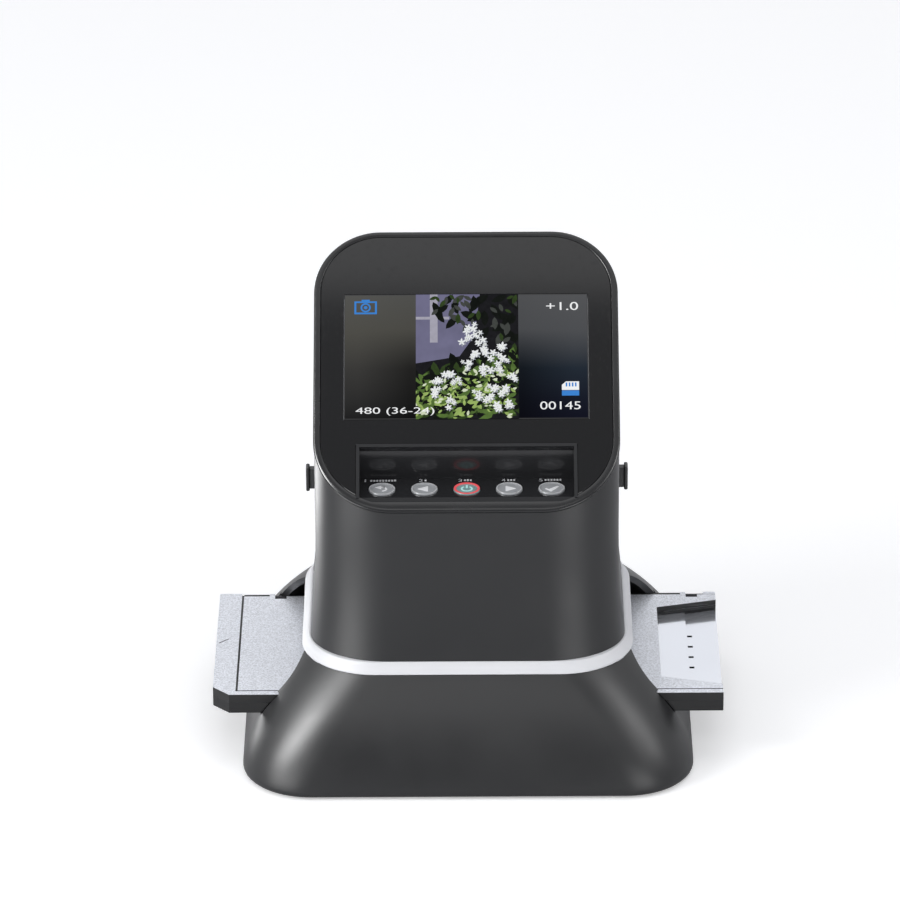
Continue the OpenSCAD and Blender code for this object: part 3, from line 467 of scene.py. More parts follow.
def make_seam_lips():
    """Strips behind the joint between the two shells, which close it from inside."""
    y0, y1 = SPLIT_Y - LIP_HALF, SPLIT_Y + LIP_HALF
    section = ((STRIP_BACK, y0), (STRIP_BACK, y1), (LIP_BACK, y1), (LIP_BACK, y0))
    for side, word in SIDES:
        rings = [[tower_point(side * (HALF_W - depth), y, 0.02 + 0.96 * i / 16) for depth, y in section]
                 for i in range(17)]
        fit(loft("seam_lip_" + word, rings, "inner_plastic", caps=True), "base")


def make_slot_brushes():
    """Two rows of black bristles behind each slot, which meet in its middle, where the tab's stem passes."""
    low, high = SLOT_FROM - 0.02, SLOT_TO + 0.02
    for side, word in SIDES:
        for row, y0, y1 in BRISTLES:
            rings = []
            for t in [low + (high - low) * i / 12 for i in range(13)]:
                (x0, _, z0), (x1, _, z1) = (tower_point(side * (HALF_W - depth), 0.0, t)
                                            for depth in (STRIP_BACK, BRUSH_BACK))
                rings.append([(x0, y0, z0), (x0, y1, z0), (x1, y1, z1), (x1, y0, z1)])
            fit(loft("slot_brush_%s_%s" % (word, row), rings, "foot_rubber", caps=True), "base")


# ---- head rim and window

HEAD_PARTS = (TOWER_SIDE, 8, 24)
NOTCH = WELL_W / 2 + FRAME_W
NOTCH_Y = SHELF_FRONT - 0.1


def rim_ring(depth, inset, part):
    """A level of the rim's outer side, at a depth of its own (part 0) or where the tower begins (part 1)."""
    low, top = (R_LOW - inset, R_LOW * COS - inset), (R_TOP - inset, R_TOP * COS - inset)
    pts = outline(HALF_W - inset, inset - TOWER_FRONT, HEAD_BACK - inset, low, top, *HEAD_PARTS)
    return [(x, y, face_z(y, depth + part * rim_depth(y))) for x, y in pts]


def face_ring(inset, depth):
    """An outline that runs level with the face's edge, drawn in its own plane."""
    low, top = (R_LOW - inset,) * 2, (R_TOP - inset,) * 2
    pts = outline(HALF_W - inset, inset, HEAD_LEN - inset, low, top, *HEAD_PARTS)
    return [(x, -TOWER_FRONT + v * COS + depth * SIN, LIP_Z + v * SIN - depth * COS) for x, v in pts]


def make_rim():
    # Depth, inset and part of each level, from under the tower's edge up to the face
    outer = [(0.0, 1.4, 1), (0.0, 0.2 - PROUD, 1), (-0.12, -PROUD, 1), (0.62, -PROUD, 0), (0.4, 0.05 - PROUD, 0),
             (0.2, 0.22 - PROUD, 0), (0.06, 0.5 - PROUD, 0), (0.0, 0.95 - PROUD, 0)]
    inner = [(0.3, 0.0), (0.1, 0.06), (0.0, 0.3), (0.0, WINDOW_T + 1)]
    rings = [rim_ring(*level) for level in outer] + [face_ring(RIM_W - inset, depth) for inset, depth in inner]
    # In front of the key well the rim's top runs on to the shelf
    for ring in rings[len(outer):]:
        y_shelf = NOTCH_Y - (ring[0][0] - (HALF_W - RIM_W))
        for j, (x, y, z) in enumerate(ring):
            if y < NOTCH_Y and abs(x) < NOTCH + 0.2:
                ring[j] = (x, y_shelf, face_z(y_shelf, (face_z(y) - z) * COS))
    piece = loft("head_rim_frame", rings, "rim_satin")
    solidify(piece, 0.3)
    fit(piece, "base", "head_rim")


def opening_cutter(name, half, low, high):
    """Cuts an opening through the plate, flared at the top so that its edge is chamfered."""
    rings = []
    for z, grow in ((1.0, 1.1), (-0.1, 0.0), (-WINDOW_T - 1, 0.0)):
        rings.append([(x, y, z) for x, y in rect(-half - grow, low - grow, half + grow, high + grow)])
    return on_face(loft(name, rings, "window_gloss", caps=True, smooth=False))


def make_window():
    chamfer, below_edge = 0.12, -9.0
    levels = [(RIM_W + GAP + chamfer, 0.0), (RIM_W + GAP, chamfer), (RIM_W + GAP, WINDOW_T)]
    piece = loft("window_plate", [face_ring(*level) for level in levels], "window_gloss", caps=True, smooth=False)
    cut(piece, [
        opening_cutter("cut_screen", SCREEN_W / 2 + GAP, SCREEN_FROM - GAP, SCREEN_FROM + SCREEN_H + GAP),
        opening_cutter("cut_well", WELL_W / 2 + FRAME_W + GAP, below_edge, WELL_TO + FRAME_W + GAP)])
    fit(piece, "base", "front_window")


# ---- what the screen shows

PICTURE_FROM, PICTURE_W = 27.9, 40.0
PICTURE_TO = PICTURE_FROM + PICTURE_W
LAYER = 0.004
READ_PLACE = FACE @ Matrix.Translation((-SCREEN_W / 2 * MM, SCREEN_FROM * MM, -0.03 * MM))
# Text, width, height and lower left corner of each line of type
READOUTS = (("level", "+1.0", 12.5, 3.5, SCREEN_W - 16.2, SCREEN_H - 7.1),
            ("count", "00145", 15.7, 3.4, SCREEN_W - 18.9, 3.9), ("frame", "480 (36-24)", 30.6, 3.6, 4.5, 1.5))
LEAF = [(0.0, 0.0), (0.22, 0.17), (0.5, 0.24), (0.8, 0.15), (1.0, 0.0), (0.8, -0.13), (0.5, -0.2), (0.22, -0.15)]


def on_screen(name, shapes, depth, finish):
    """Flat shapes just above the screen's glass, in millimetres from its lower left corner."""
    verts, faces = [], []
    for shape in shapes:
        faces.append(tuple(range(len(verts), len(verts) + len(shape))))
        verts += [(x - SCREEN_W / 2, y + SCREEN_FROM, -depth) for x, y in shape]
    fit(on_face(new_piece(name, verts, faces, finish, smooth=False)), "base")


def leaf(x, y, size, angle):
    """One leaf or petal, kept inside the picture."""
    c, s = cos(angle) * size, sin(angle) * size
    shape = [(x + c * a - s * b, y + s * a + c * b) for a, b in LEAF]
    return [(min(max(a, PICTURE_FROM), PICTURE_TO), min(max(b, 0.0), SCREEN_H)) for a, b in shape]


def petals(x, y, size, angle):
    return [leaf(x, y, size, angle + tau * k / 5) for k in range(5)]


# Colour, how many, leaf length, and the part of the picture they grow in: low and high, left and right
FOLIAGE = (
    ("leaf_black", 70, (5, 9), (0, 34), (0, 40)), ("leaf_deep", 70, (4, 8), (0, 30), (0, 40)),
    ("leaf_green", 60, (3.5, 6.5), (0, 27), (0, 40)), ("leaf_black", 44, (3, 6), (0, 30), (2, 40)),
    ("leaf_lime", 52, (2.5, 4.6), (0, 23), (0, 38)), ("leaf_green", 44, (2.5, 4.6), (0, 29), (0, 40)),
    ("leaf_black", 40, (2, 4.5), (0, 33), (2, 40)), ("leaf_pale", 60, (1.4, 3.0), (0, 26), (0, 39)),
    ("leaf_lime", 40, (1.6, 3.0), (0, 24), (0, 39)), ("leaf_black", 34, (1.4, 3.0), (0, 34), (2, 40)),
)
TWIGS = (("leaf_black", 30, (4, 8)), ("leaf_shade", 22, (3, 6)), ("leaf_deep", 12, (2.5, 5)))
BLOOMS = ((9, 17), (12, 20.5), (16.5, 15.5), (7.5, 12), (22, 27), (25, 31.5), (28.5, 27.5), (31.5, 22), (27, 20.5),
          (34.5, 26), (36.5, 18.5), (30, 14), (35, 11.5), (24.5, 11), (37, 6), (32, 4.5), (20, 33.5), (19.5, 23),
          (24, 35.5), (13, 6.5), (28, 8.5), (21.5, 39.5), (33.5, 31))


def make_picture():
    """A bed of leaves with white blossoms in front of a dim wall, of the screen's own."""
    chance = random.Random(11)
    x0, top = PICTURE_FROM, SCREEN_H
    on_screen("picture_ground", [rect(x0, 0, PICTURE_TO, top)], 0.118, "picture_night")
    wall = [(x0, 24), (x0 + 17, 27), (x0 + 23, 36), (x0 + 25, top), (x0, top)]
    on_screen("picture_wall", [wall], 0.114, "picture_wall")
    post = [rect(x0 + 5.5, 33, x0 + 8.5, top), rect(x0, 43, x0 + 13, 44.2)]
    on_screen("picture_post", post, 0.111, "picture_pale")
    depth = 0.108

    def grow(name, colour, count, sizes, turns, places, height):
        nonlocal depth
        shapes = []
        for _ in range(count):
            x = x0 + chance.uniform(*places)
            y = height(x - x0)
            shapes.append(leaf(x, y, chance.uniform(*sizes), chance.uniform(*turns)))
        on_screen(name, shapes, depth, colour)
        depth -= LAYER

    for i, (colour, count, sizes, (low, high), places) in enumerate(FOLIAGE):
        grow("picture_leaves_%d" % i, colour, count, sizes, (-0.6, 3.9), places,
             lambda x: low + (high - low) * (0.55 + 0.45 * x / PICTURE_W) * chance.random() ** 0.8)
    for i, (colour, count, sizes) in enumerate(TWIGS):
        grow("picture_twigs_%d" % i, colour, count, sizes, (3.4, 5.9), (6, 40),
             lambda x: top - chance.random() ** 1.3 * (6 + 0.35 * x))
    shade, white, hearts = [], [], []
    for bx, by in BLOOMS:
        for _ in range(4):
            x, y = x0 + bx + chance.uniform(-2.2, 2.2), by + chance.uniform(-2.0, 2.0)
            size, angle = chance.uniform(0.9, 1.9), chance.uniform(0, 1.2)
            shade += petals(x + 0.35, y - 0.4, size, angle + 0.5)
            white += petals(x, y, size, angle)
            hearts.append(leaf(x - 0.2, y - 0.2, 0.5, angle))
    on_screen("picture_petals_shade", shade, depth, "petal_shade")
    on_screen("picture_petals", white, depth - LAYER, "petal_white")
    on_screen("picture_hearts", hearts, depth - 2 * LAYER, "leaf_lime")


def words(name, text, width, height, x, y, place, finish, slot):
    """Plain numbers in the built-in type, stretched to a width and height from their lower left corner."""
    text_object = linked(name, assign(bpy.data.curves.new(name, "FONT"), body=text))
    bpy.context.view_layer.update()
    mesh = bpy.data.meshes.new_from_object(text_object.evaluated_get(bpy.context.evaluated_depsgraph_get()))
    bpy.data.objects.remove(text_object, do_unlink=True)
    xs, ys = [v.co.x for v in mesh.vertices], [v.co.y for v in mesh.vertices]
    kx, ky = width / (max(xs) - min(xs)), height / (max(ys) - min(ys))
    for v in mesh.vertices:
        v.co = ((x + (v.co.x - min(xs)) * kx) * MM, (y + (v.co.y - min(ys)) * ky) * MM, 0)
    mesh.materials.clear()
    mesh.materials.append(MATS[finish])
    mesh.transform(place)
    fit(linked(name, mesh), "base")


def make_readout():
    top, right, depth = SCREEN_H, SCREEN_W, 0.03
    on_screen("screen_ground", [rect(0.05, 0.05, right - 0.05, top - 0.05)], 0.125, "screen_ground")
    edges = [rect(0, 0, right, 0.3), rect(0, top - 0.35, right, top), rect(0, 0, 0.3, top),
             rect(right - 0.3, 0, right, top)]
    on_screen("screen_edge", edges, 0.122, "screen_edge")
    for name, *text_and_place in READOUTS:
        words("read_" + name, *text_and_place, READ_PLACE, "screen_white", "screen_face")
    # Camera sign: a frame with a hump, and the lens in it
    x, y = 3.9, top - 8.5
    body = [rect(x, y, x + 8.8, y + 0.75), rect(x, y + 4.9, x + 8.8, y + 5.6), rect(x, y, x + 0.75, y + 5.6),
            rect(x + 8.05, y, x + 8.8, y + 5.6), rect(x + 2.8, y + 5.6, x + 6.0, y + 6.3)]
    lens = [[(x + 4.4 + a, y + 2.85 + b) for a, b in shape]
            for shape in (bow(2.0, 1.35, 0, 359.9, 30), arc(0.7, 0, 350, 16))]
    on_screen("sign_camera", body + lens, depth, "screen_blue")
    # Card sign: white with a cut corner and blue contacts, over a blue foot
    x, y = right - 10.4, 9.8
    card = [(x + 1.6, y + 6.1), (x, y + 4.6), (x, y + 2.4), (x + 6.7, y + 2.4), (x + 6.7, y + 6.1)]
    on_screen("sign_card", [card], depth + LAYER, "screen_white")
    bars = [rect(x + 1.5 + 1.2 * k, y + 3.9, x + 2.1 + 1.2 * k, y + 5.6) for k in range(4)]
    on_screen("sign_card_blue", bars + [rect(x, y, x + 6.7, y + 2.2)], depth, "screen_blue")


# ---- keys

# Radius and height above the shelf, from the dished top over the bright edge down to the plunger
CAP = [(0, 0.36), (1.6, 0.35), (3.0, 0.32), (3.9, 0.3), (4.12, 0.33), (4.26, 0.42), (4.4, 0.54), (4.56, 0.61),
       (4.74, 0.62), (4.92, 0.55), (5.06, 0.42), (KEY_R, 0.22), (KEY_R, -1.2), (KEY_R, -2.06), (6.1, -2.06),
       (6.1, -2.9), (1.5, -2.9), (1.5, -4.8), (0, -4.8)]
# Signs on the keys, from left to right, in millimetres from a key's middle before SIGN_SCALE
KEY_SIGNS = {
    "cancel": [rect(-0.3, 0.75, 0.9, 1.35), [(-0.2, 2.2), (-2.1, 1.05), (-0.2, -0.1)],
               bow(1.55, 0.95, 90, -90, 16)],
    "left": [triangle(180)],
    "power": [bow(1.75, 1.2, 122, 418, 30), rect(-0.3, 0.35, 0.3, 2.3)],
    "right": [triangle(0)],
    "confirm": [[(-2.0095, -0.2995), (-0.1777, -2.1903), (2.1691, 1.1108), (1.6309, 1.5892), (-0.8223, -0.5097),
                 (-1.4905, 0.1995)]],
}
SIGN_SCALE = 1.35
SIGN_Z, SIGN_T = SHELF_Z + 0.3, 0.12
RING_Z, RING_T, RING_R = SHELF_Z + 0.27, 0.4, 5.0
# Marks behind the keys: width of each, and the dashes beside its number
LABEL_WIDTHS = (13.5, 4.3, 6.6, 5.8, 9.7)
LABEL_Z, LABEL_Y, LABEL_H = SHELF_Z + 0.02, KEY_Y + 7.0, 2.3
DASH_FROM, DASH_PITCH, DASH_W = 2.2, 1.15, 0.75


def make_keys():
    for place, (name, signs) in enumerate(KEY_SIGNS.items(), -2):
        centre, key, body = (place * KEY_PITCH, KEY_Y), name + "_key", name + "_button"
        cap, sign, ring = "key_silver", "key_sign", (key + "_rim", 0.42, "key_rim")
        if name == "power":
            cap, sign, ring = "key_power", "power_teal", ("power_light", 0.85, "power_red")
        fit(revolve(key + "_cap", CAP, cap, centre, SHELF_Z), body, key)
        for i, points in enumerate(signs):
            shape = [(x * SIGN_SCALE, y * SIGN_SCALE) for x, y in points]
            mark = prism("%s_sign_%d" % (key, i), shape, SIGN_Z, SIGN_Z + SIGN_T, sign, centre)
            bevel(mark, 0.05, 2)
            fit(mark, body)
        ring_name, wide, finish = ring
        circle = bow(RING_R, RING_R - wide, 0, 359.99, 64)
        fit(prism(ring_name, circle, RING_Z, RING_Z + RING_T, finish, centre), body)


def make_labels():
    """Small printed marks behind the keys: a plain number with a line of dashes beside it."""
    place = Matrix.Translation((0, LABEL_Y * MM, LABEL_Z * MM))
    for number, width in enumerate(LABEL_WIDTHS, 1):
        left = (number - 3) * KEY_PITCH - width / 2
        words("label_%d" % number, str(number), 0.5 if number == 1 else 1.5, LABEL_H, left, 0, place,
              "key_label", "key_silver")
        for k in range(int((width - DASH_FROM) / DASH_PITCH)):
            x = left + DASH_FROM + DASH_PITCH * k
            shape = rect(x, LABEL_Y + 0.4, x + DASH_W, LABEL_Y + 1.9)
            dash = prism("label_dash_%d_%d" % (number, k), shape, LABEL_Z, LABEL_Z + 0.01, "key_label")
            fit(dash, "base")


# ---- finger tabs and film holder


def make_tabs():
    """Finger tabs with a stem through the slot and five grip ribs."""
    rib_t, rib_pitch = 0.3, 1.6
    for side, word in SIDES:
        node = word + "_tab"
        ends = [abs(corner[0]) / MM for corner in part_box(node)]
        outer, inner = max(ends), min(ends)
        # Name, end of the box inside, outside, half depth, middle and half height, edge, its segments, node
        parts = [("plate", outer - TAB_T, outer, TAB_D / 2, TAB_Z, TAB_H / 2, 0.55, 4, node),
                 ("stem", inner, outer - TAB_T + 0.1, STEM_T / 2, TAB_Z, STEM_H / 2, 0.35, 3, None)]
        parts += [("rib_%d" % k, outer - rib_t, outer, TAB_D / 2 - 0.9, TAB_Z + (k - 2) * rib_pitch, 0.32, 0.12, 2,
                   None) for k in range(5)]
        for part, x0, x1, half_d, z, half_h, edge, segments, stands_for in parts:
            x0, x1 = sorted((side * x0, side * x1))
            piece = box("%s_%s" % (node, part), (x0, -half_d, z - half_h), (x1, half_d, z + half_h),
                        "tab_plastic", edge, segments)
            fit(piece, "camera_carriage", stands_for)


def make_holder_lines():
    """Dark strips in the joints around the lid and in the hinge's trough behind it: painted shade, where these
    gaps lie in shadow.
    """
    gap, thin, low, hinge_low = 0.78, 0.02, 27.7, 28.2
    top, hinge_top = HOLDER_TOP - 0.25, HOLDER_TOP - 0.04
    end, front, back = LID_LEFT, LID_FRONT, LID_BACK
    strips = {
        "end": ((end - gap, front - 0.6, low), (end - thin, back, top)),
        "front": ((end - gap, front - 0.58, low), (HOLDER_L / 2 - 0.1, front - thin, top)),
        "hinge_left": ((end, back + 0.03, hinge_low), (EAR_LEFT - 0.05, back + 1.5, hinge_top)),
        "hinge_right": ((EAR_RIGHT - 30.0, back + 0.03, hinge_low), (EAR_RIGHT - 0.05, back + 1.5, hinge_top)),
    }
    for name, (lo, hi) in strips.items():
        fit(box("holder_line_" + name, lo, hi, "joint_line"), "film_holder")


# ---- materials


class Nodes:
    """Short way to write the node tree of a material or a world. A value is a number, a colour or an output."""

    def __init__(self, owner):
        if isinstance(owner, str):
            owner = bpy.data.materials.new(owner)
        owner.use_nodes = True
        self.owner, self.tree = owner, owner.node_tree
        self.at = self.add("TexCoord")

    def put(self, socket, value):
        if isinstance(value, bpy.types.NodeSocket):
            self.tree.links.new(value, socket)
        elif socket.type == "RGBA":
            socket.default_value = (*value, 1)
        else:
            socket.default_value = value

    def add(self, kind, inputs=None, **settings):
        node = assign(self.tree.nodes.new("ShaderNode" + kind), **settings)
        for key, value in (inputs or {}).items():
            self.put(node.inputs[key], value)
        return node.outputs

    def scaled(self, vector, scale, rotation=(0, 0, 0)):
        return self.add("Mapping", {"Vector": vector, "Scale": scale, "Rotation": rotation})["Vector"]

    def noise(self, vector, scale, detail, roughness):
        inputs = {"Vector": vector, "Scale": scale, "Detail": detail, "Roughness": roughness}
        return self.add("TexNoise", inputs)["Fac"]

    def cells(self, vector, scale):
        return self.add("TexVoronoi", {"Vector": vector, "Scale": scale})["Distance"]

    def ramp(self, fac, stops):
        colours = self.add("ValToRGB", {"Fac": fac})["Color"]
        elements = colours.node.color_ramp.elements
        while len(elements) < len(stops):
            elements.new(0.5)
        for element, (place, colour) in zip(elements, stops):
            assign(element, position=place, color=(*colour, 1))
        return colours

    def span(self, *values):
        """A value, the two ends it runs between, and the two ends they become."""
        keys = ("Value", "From Min", "From Max", "To Min", "To Max")
        return self.add("MapRange", dict(zip(keys, values)))["Result"]

    def math(self, operation, a, b=0.0):
        return self.add("Math", {0: a, 1: b}, operation=operation)[0]

    def mix(self, fac, a, b):
        return self.add("Mix", {0: fac, 6: a, 7: b}, data_type="RGBA")[2]

    def vary(self, fac, colour, low, high):
        return self.mix(fac, tone(colour, low), tone(colour, high))

    def bump(self, height, strength, distance):
        return self.add("Bump", {"Height": height, "Strength": strength, "Distance": distance})["Normal"]

    def split(self, vector):
        return self.add("SeparateXYZ", {0: vector})

    def finish(self, **values):
        """Sets the shader's sockets, named with underscores, and returns the material."""
        for key, value in values.items():
            self.put(self.tree.nodes["Principled BSDF"].inputs[key.replace("_", " ")], value)
        return self.owner


def tone(colour, k, lift=0.0):
    return tuple(min(1.0, c * k + lift) for c in colour)


def moulded(name, colour, rough, grain, depth, strength, spread_by=0.12):
    """Moulded plastic: grain with its depth in hundredths of a millimetre, soft patches, lighter worn edges."""
    n = Nodes(name)
    co = n.at["Object"]
    patches = n.noise(co, 38.0, 4.0, 0.55)
    worn = n.span(n.add("NewGeometry")["Pointiness"], 0.53, 0.62, 0.0, 1.0)
    base = n.vary(patches, colour, 1 - spread_by, 1 + spread_by)
    return n.finish(
        Base_Color=n.mix(n.math("MULTIPLY", worn, 0.35), base, tone(colour, 1.8, 0.02)),
        Roughness=n.span(patches, 0.3, 0.7, rough - 0.04, rough + 0.05),
        Normal=n.bump(n.noise(co, grain, 3.0, 0.6), strength, depth * 1e-5))


def glossy(name, colour, rough, specular):
    """Polished plastic: faint waviness of the moulding and a few fine scuffs."""
    n = Nodes(name)
    co = n.at["Object"]
    wave = n.noise(co, 22.0, 1.0, 0.4)
    scuff = n.noise(n.scaled(co, (60.0, 9.0, 60.0), (0.3, 0.2, 0.7)), 14.0, 3.0, 0.6)
    return n.finish(
        Base_Color=n.vary(wave, colour, 0.9, 1.1), Specular_IOR_Level=specular,
        Roughness=n.span(scuff, 0.55, 0.8, rough, rough + 0.09), Normal=n.bump(wave, 0.06, 0.0002))


def metal(name, colour, rough, brush=(900.0, 30.0, 900.0), strength=0.12, metallic=1.0, spread_by=0.1):
    """Metal or metal paint, with fine lines of brushing."""
    n = Nodes(name)
    co = n.at["Object"]
    lines = n.noise(n.scaled(co, brush), 1.0, 3.0, 0.65)
    return n.finish(
        Base_Color=n.vary(n.noise(co, 30.0, 3.0, 0.5), colour, 1 - spread_by, 1.0), Metallic=metallic,
        Roughness=n.span(lines, 0.3, 0.7, rough - 0.06, rough + 0.08), Normal=n.bump(lines, strength, 0.00003))


def holder_silver(name, colour, rough):
    """Black plastic, painted silver on every face that looks up as a painted reflection of the bright studio, with
    a fine grain down to the film's level.
    """
    n = Nodes(name)
    co = n.at["Object"]
    # Mask of the faces that look up, which get the painted silver reflection
    top = n.span(n.split(n.at["Normal"])[2], 0.55, 0.85, 0.0, 1.0)
    grained = n.span(n.split(co)[2], (CHANNEL_FLOOR + 0.3) * MM, (CHANNEL_FLOOR + 0.6) * MM, 0.0, 1.0)
    grain = n.noise(co, 1500.0, 2.0, 0.75)
    cloud = n.noise(co, 26.0, 3.0, 0.5)
    pitted = n.vary(n.span(grain, 0.35, 0.65, 0.0, 1.0), colour, 0.66, 1.06)
    silver = n.mix(grained, n.vary(cloud, colour, 0.96, 1.0), pitted)
    smooth = n.math("ADD", n.math("MULTIPLY", cloud, 0.04), 0.1)
    fine = n.span(grain, 0.3, 0.7, rough - 0.06, rough + 0.1)
    height = n.math("MULTIPLY", n.math("ADD", grain, n.cells(co, 1100.0)), grained)
    return n.finish(
        # Painted reflection: silver on the faces that look up, the plastic's own black on the others
        Base_Color=n.mix(top, (0.005, 0.0051, 0.0056), silver),
        Metallic=n.math("MULTIPLY", top, n.span(grained, 0.0, 1.0, 0.8, 0.45)),
        Roughness=n.add("Mix", {0: grained, 2: smooth, 3: fine}, data_type="FLOAT")[0],
        Normal=n.bump(height, 0.35, 0.00005))


def rubber(name, colour):
    n = Nodes(name)
    co = n.at["Object"]
    fine = n.noise(co, 1600.0, 3.0, 0.7)
    dust = n.span(n.noise(co, 60.0, 4.0, 0.6), 0.5, 0.8, 0.0, 0.5)
    return n.finish(Base_Color=n.vary(dust, colour, 1.0, 2.2), Normal=n.bump(fine, 0.3, 0.00005),
                    Roughness=n.span(fine, 0.3, 0.7, 0.7, 0.85))


def circuit(name):
    """Green solder mask with copper tracks under it and small pads."""
    n = Nodes(name)
    co = n.at["Object"]
    tracks = n.add("TexBrick", {"Vector": co, "Scale": 170.0, "Mortar Size": 0.03, "Mortar": (0.03, 0.2, 0.09),
                                "Color1": (0.012, 0.105, 0.05), "Color2": (0.014, 0.125, 0.058)})
    pads = n.span(n.cells(co, 260.0), 0.16, 0.2, 1.0, 0.0)
    return n.finish(Base_Color=n.mix(pads, tracks["Color"], (0.62, 0.55, 0.36)), Roughness=0.32,
                    Normal=n.bump(tracks["Fac"], 0.25, 0.00004))


def coated_glass(name, tint):
    n = Nodes(name)
    coat = n.noise(n.at["Object"], 40.0, 2.0, 0.4)
    return n.finish(Base_Color=n.vary(coat, tint, 1.0, 1.5), Roughness=n.span(coat, 0.3, 0.7, 0.02, 0.04),
                    Coat_Weight=1.0, Coat_Roughness=0.02)


def diffuser(name):
    n = Nodes(name)
    haze = n.noise(n.at["Object"], 320.0, 2.0, 0.6)
    return n.finish(Base_Color=n.mix(haze, (0.8, 0.81, 0.83), (0.88, 0.89, 0.9)),
                    Roughness=n.span(haze, 0.3, 0.7, 0.4, 0.55), Subsurface_Weight=0.15,
                    Subsurface_Radius=(0.002, 0.002, 0.002), Normal=n.bump(haze, 0.15, 0.00003))


def glow(name, colour):
    """A lit sign: it shows its colour by itself, with small variation over its surface."""
    n = Nodes(name)
    haze = n.noise(n.at["Object"], 260.0, 2.0, 0.5)
    return n.finish(Emission_Color=n.vary(haze, colour, 0.94, 1.0), Emission_Strength=1.0,
                    Base_Color=(0.01, 0.01, 0.01), Roughness=0.35)


def screen_light(n, colour, strength):
    """Lit part of the screen, without a shine of its own."""
    return n.finish(Emission_Color=colour, Emission_Strength=strength, Base_Color=(0.002, 0.002, 0.002),
                    Roughness=0.5, Specular_IOR_Level=0.0)


def screen_colour(name, colour, cloud=0.1, scale=500.0):
    n = Nodes(name)
    haze = n.noise(n.at["Object"], scale, 2.0, 0.6)
    return screen_light(n, n.vary(haze, colour, 1 - cloud, 1 + cloud), 1.0)


def screen_ground(name):
    """The screen's dark ground: greyer at the top, warm at the left, deep blue at the lower right."""
    n = Nodes(name)
    x, _, z = n.split(n.at["Object"])
    ends = [(LIP_Z + v * SIN) * MM for v in (SCREEN_FROM, SCREEN_FROM + SCREEN_H)]
    up = n.span(z, *ends, 0.0, 1.0)
    left = n.ramp(up, ((0.0, (0.012, 0.012, 0.0125)), (0.12, (0.022, 0.022, 0.022)), (0.4, (0.04, 0.039, 0.037)),
                       (0.7, (0.073, 0.071, 0.062)), (1.0, (0.085, 0.085, 0.08))))
    right = n.ramp(up, ((0.0, (0.0045, 0.005, 0.013)), (0.15, (0.007, 0.009, 0.018)), (0.4, (0.015, 0.022, 0.033)),
                        (0.7, (0.071, 0.074, 0.08)), (1.0, (0.085, 0.087, 0.092))))
    inner = n.span(n.math("ABSOLUTE", x), 0.022, 0.042, 0.36, 1.0)
    even = n.span(up, 0.4, 0.72, 0.0, 0.85)
    strength = n.math("ADD", even, n.math("MULTIPLY", inner, n.math("SUBTRACT", 1.0, even)))
    return screen_light(n, n.mix(n.span(x, -0.02, 0.02, 0.0, 1.0), left, right), strength)


def floor_paper(name):
    """White paper, a little lighter to the camera than to the object's underside, so that it ends in white."""
    n = Nodes(name)
    seen = n.add("LightPath")["Is Camera Ray"]
    clouds = n.noise(n.at["Object"], 3.0, 3.0, 0.5)
    return n.finish(Base_Color=n.mix(clouds, (0.86, 0.86, 0.865), (0.88, 0.88, 0.885)),
                    Roughness=0.9, Specular_IOR_Level=0.0, Emission_Color=(1, 1, 1),
                    Emission_Strength=n.math("MULTIPLY", seen, 0.34))


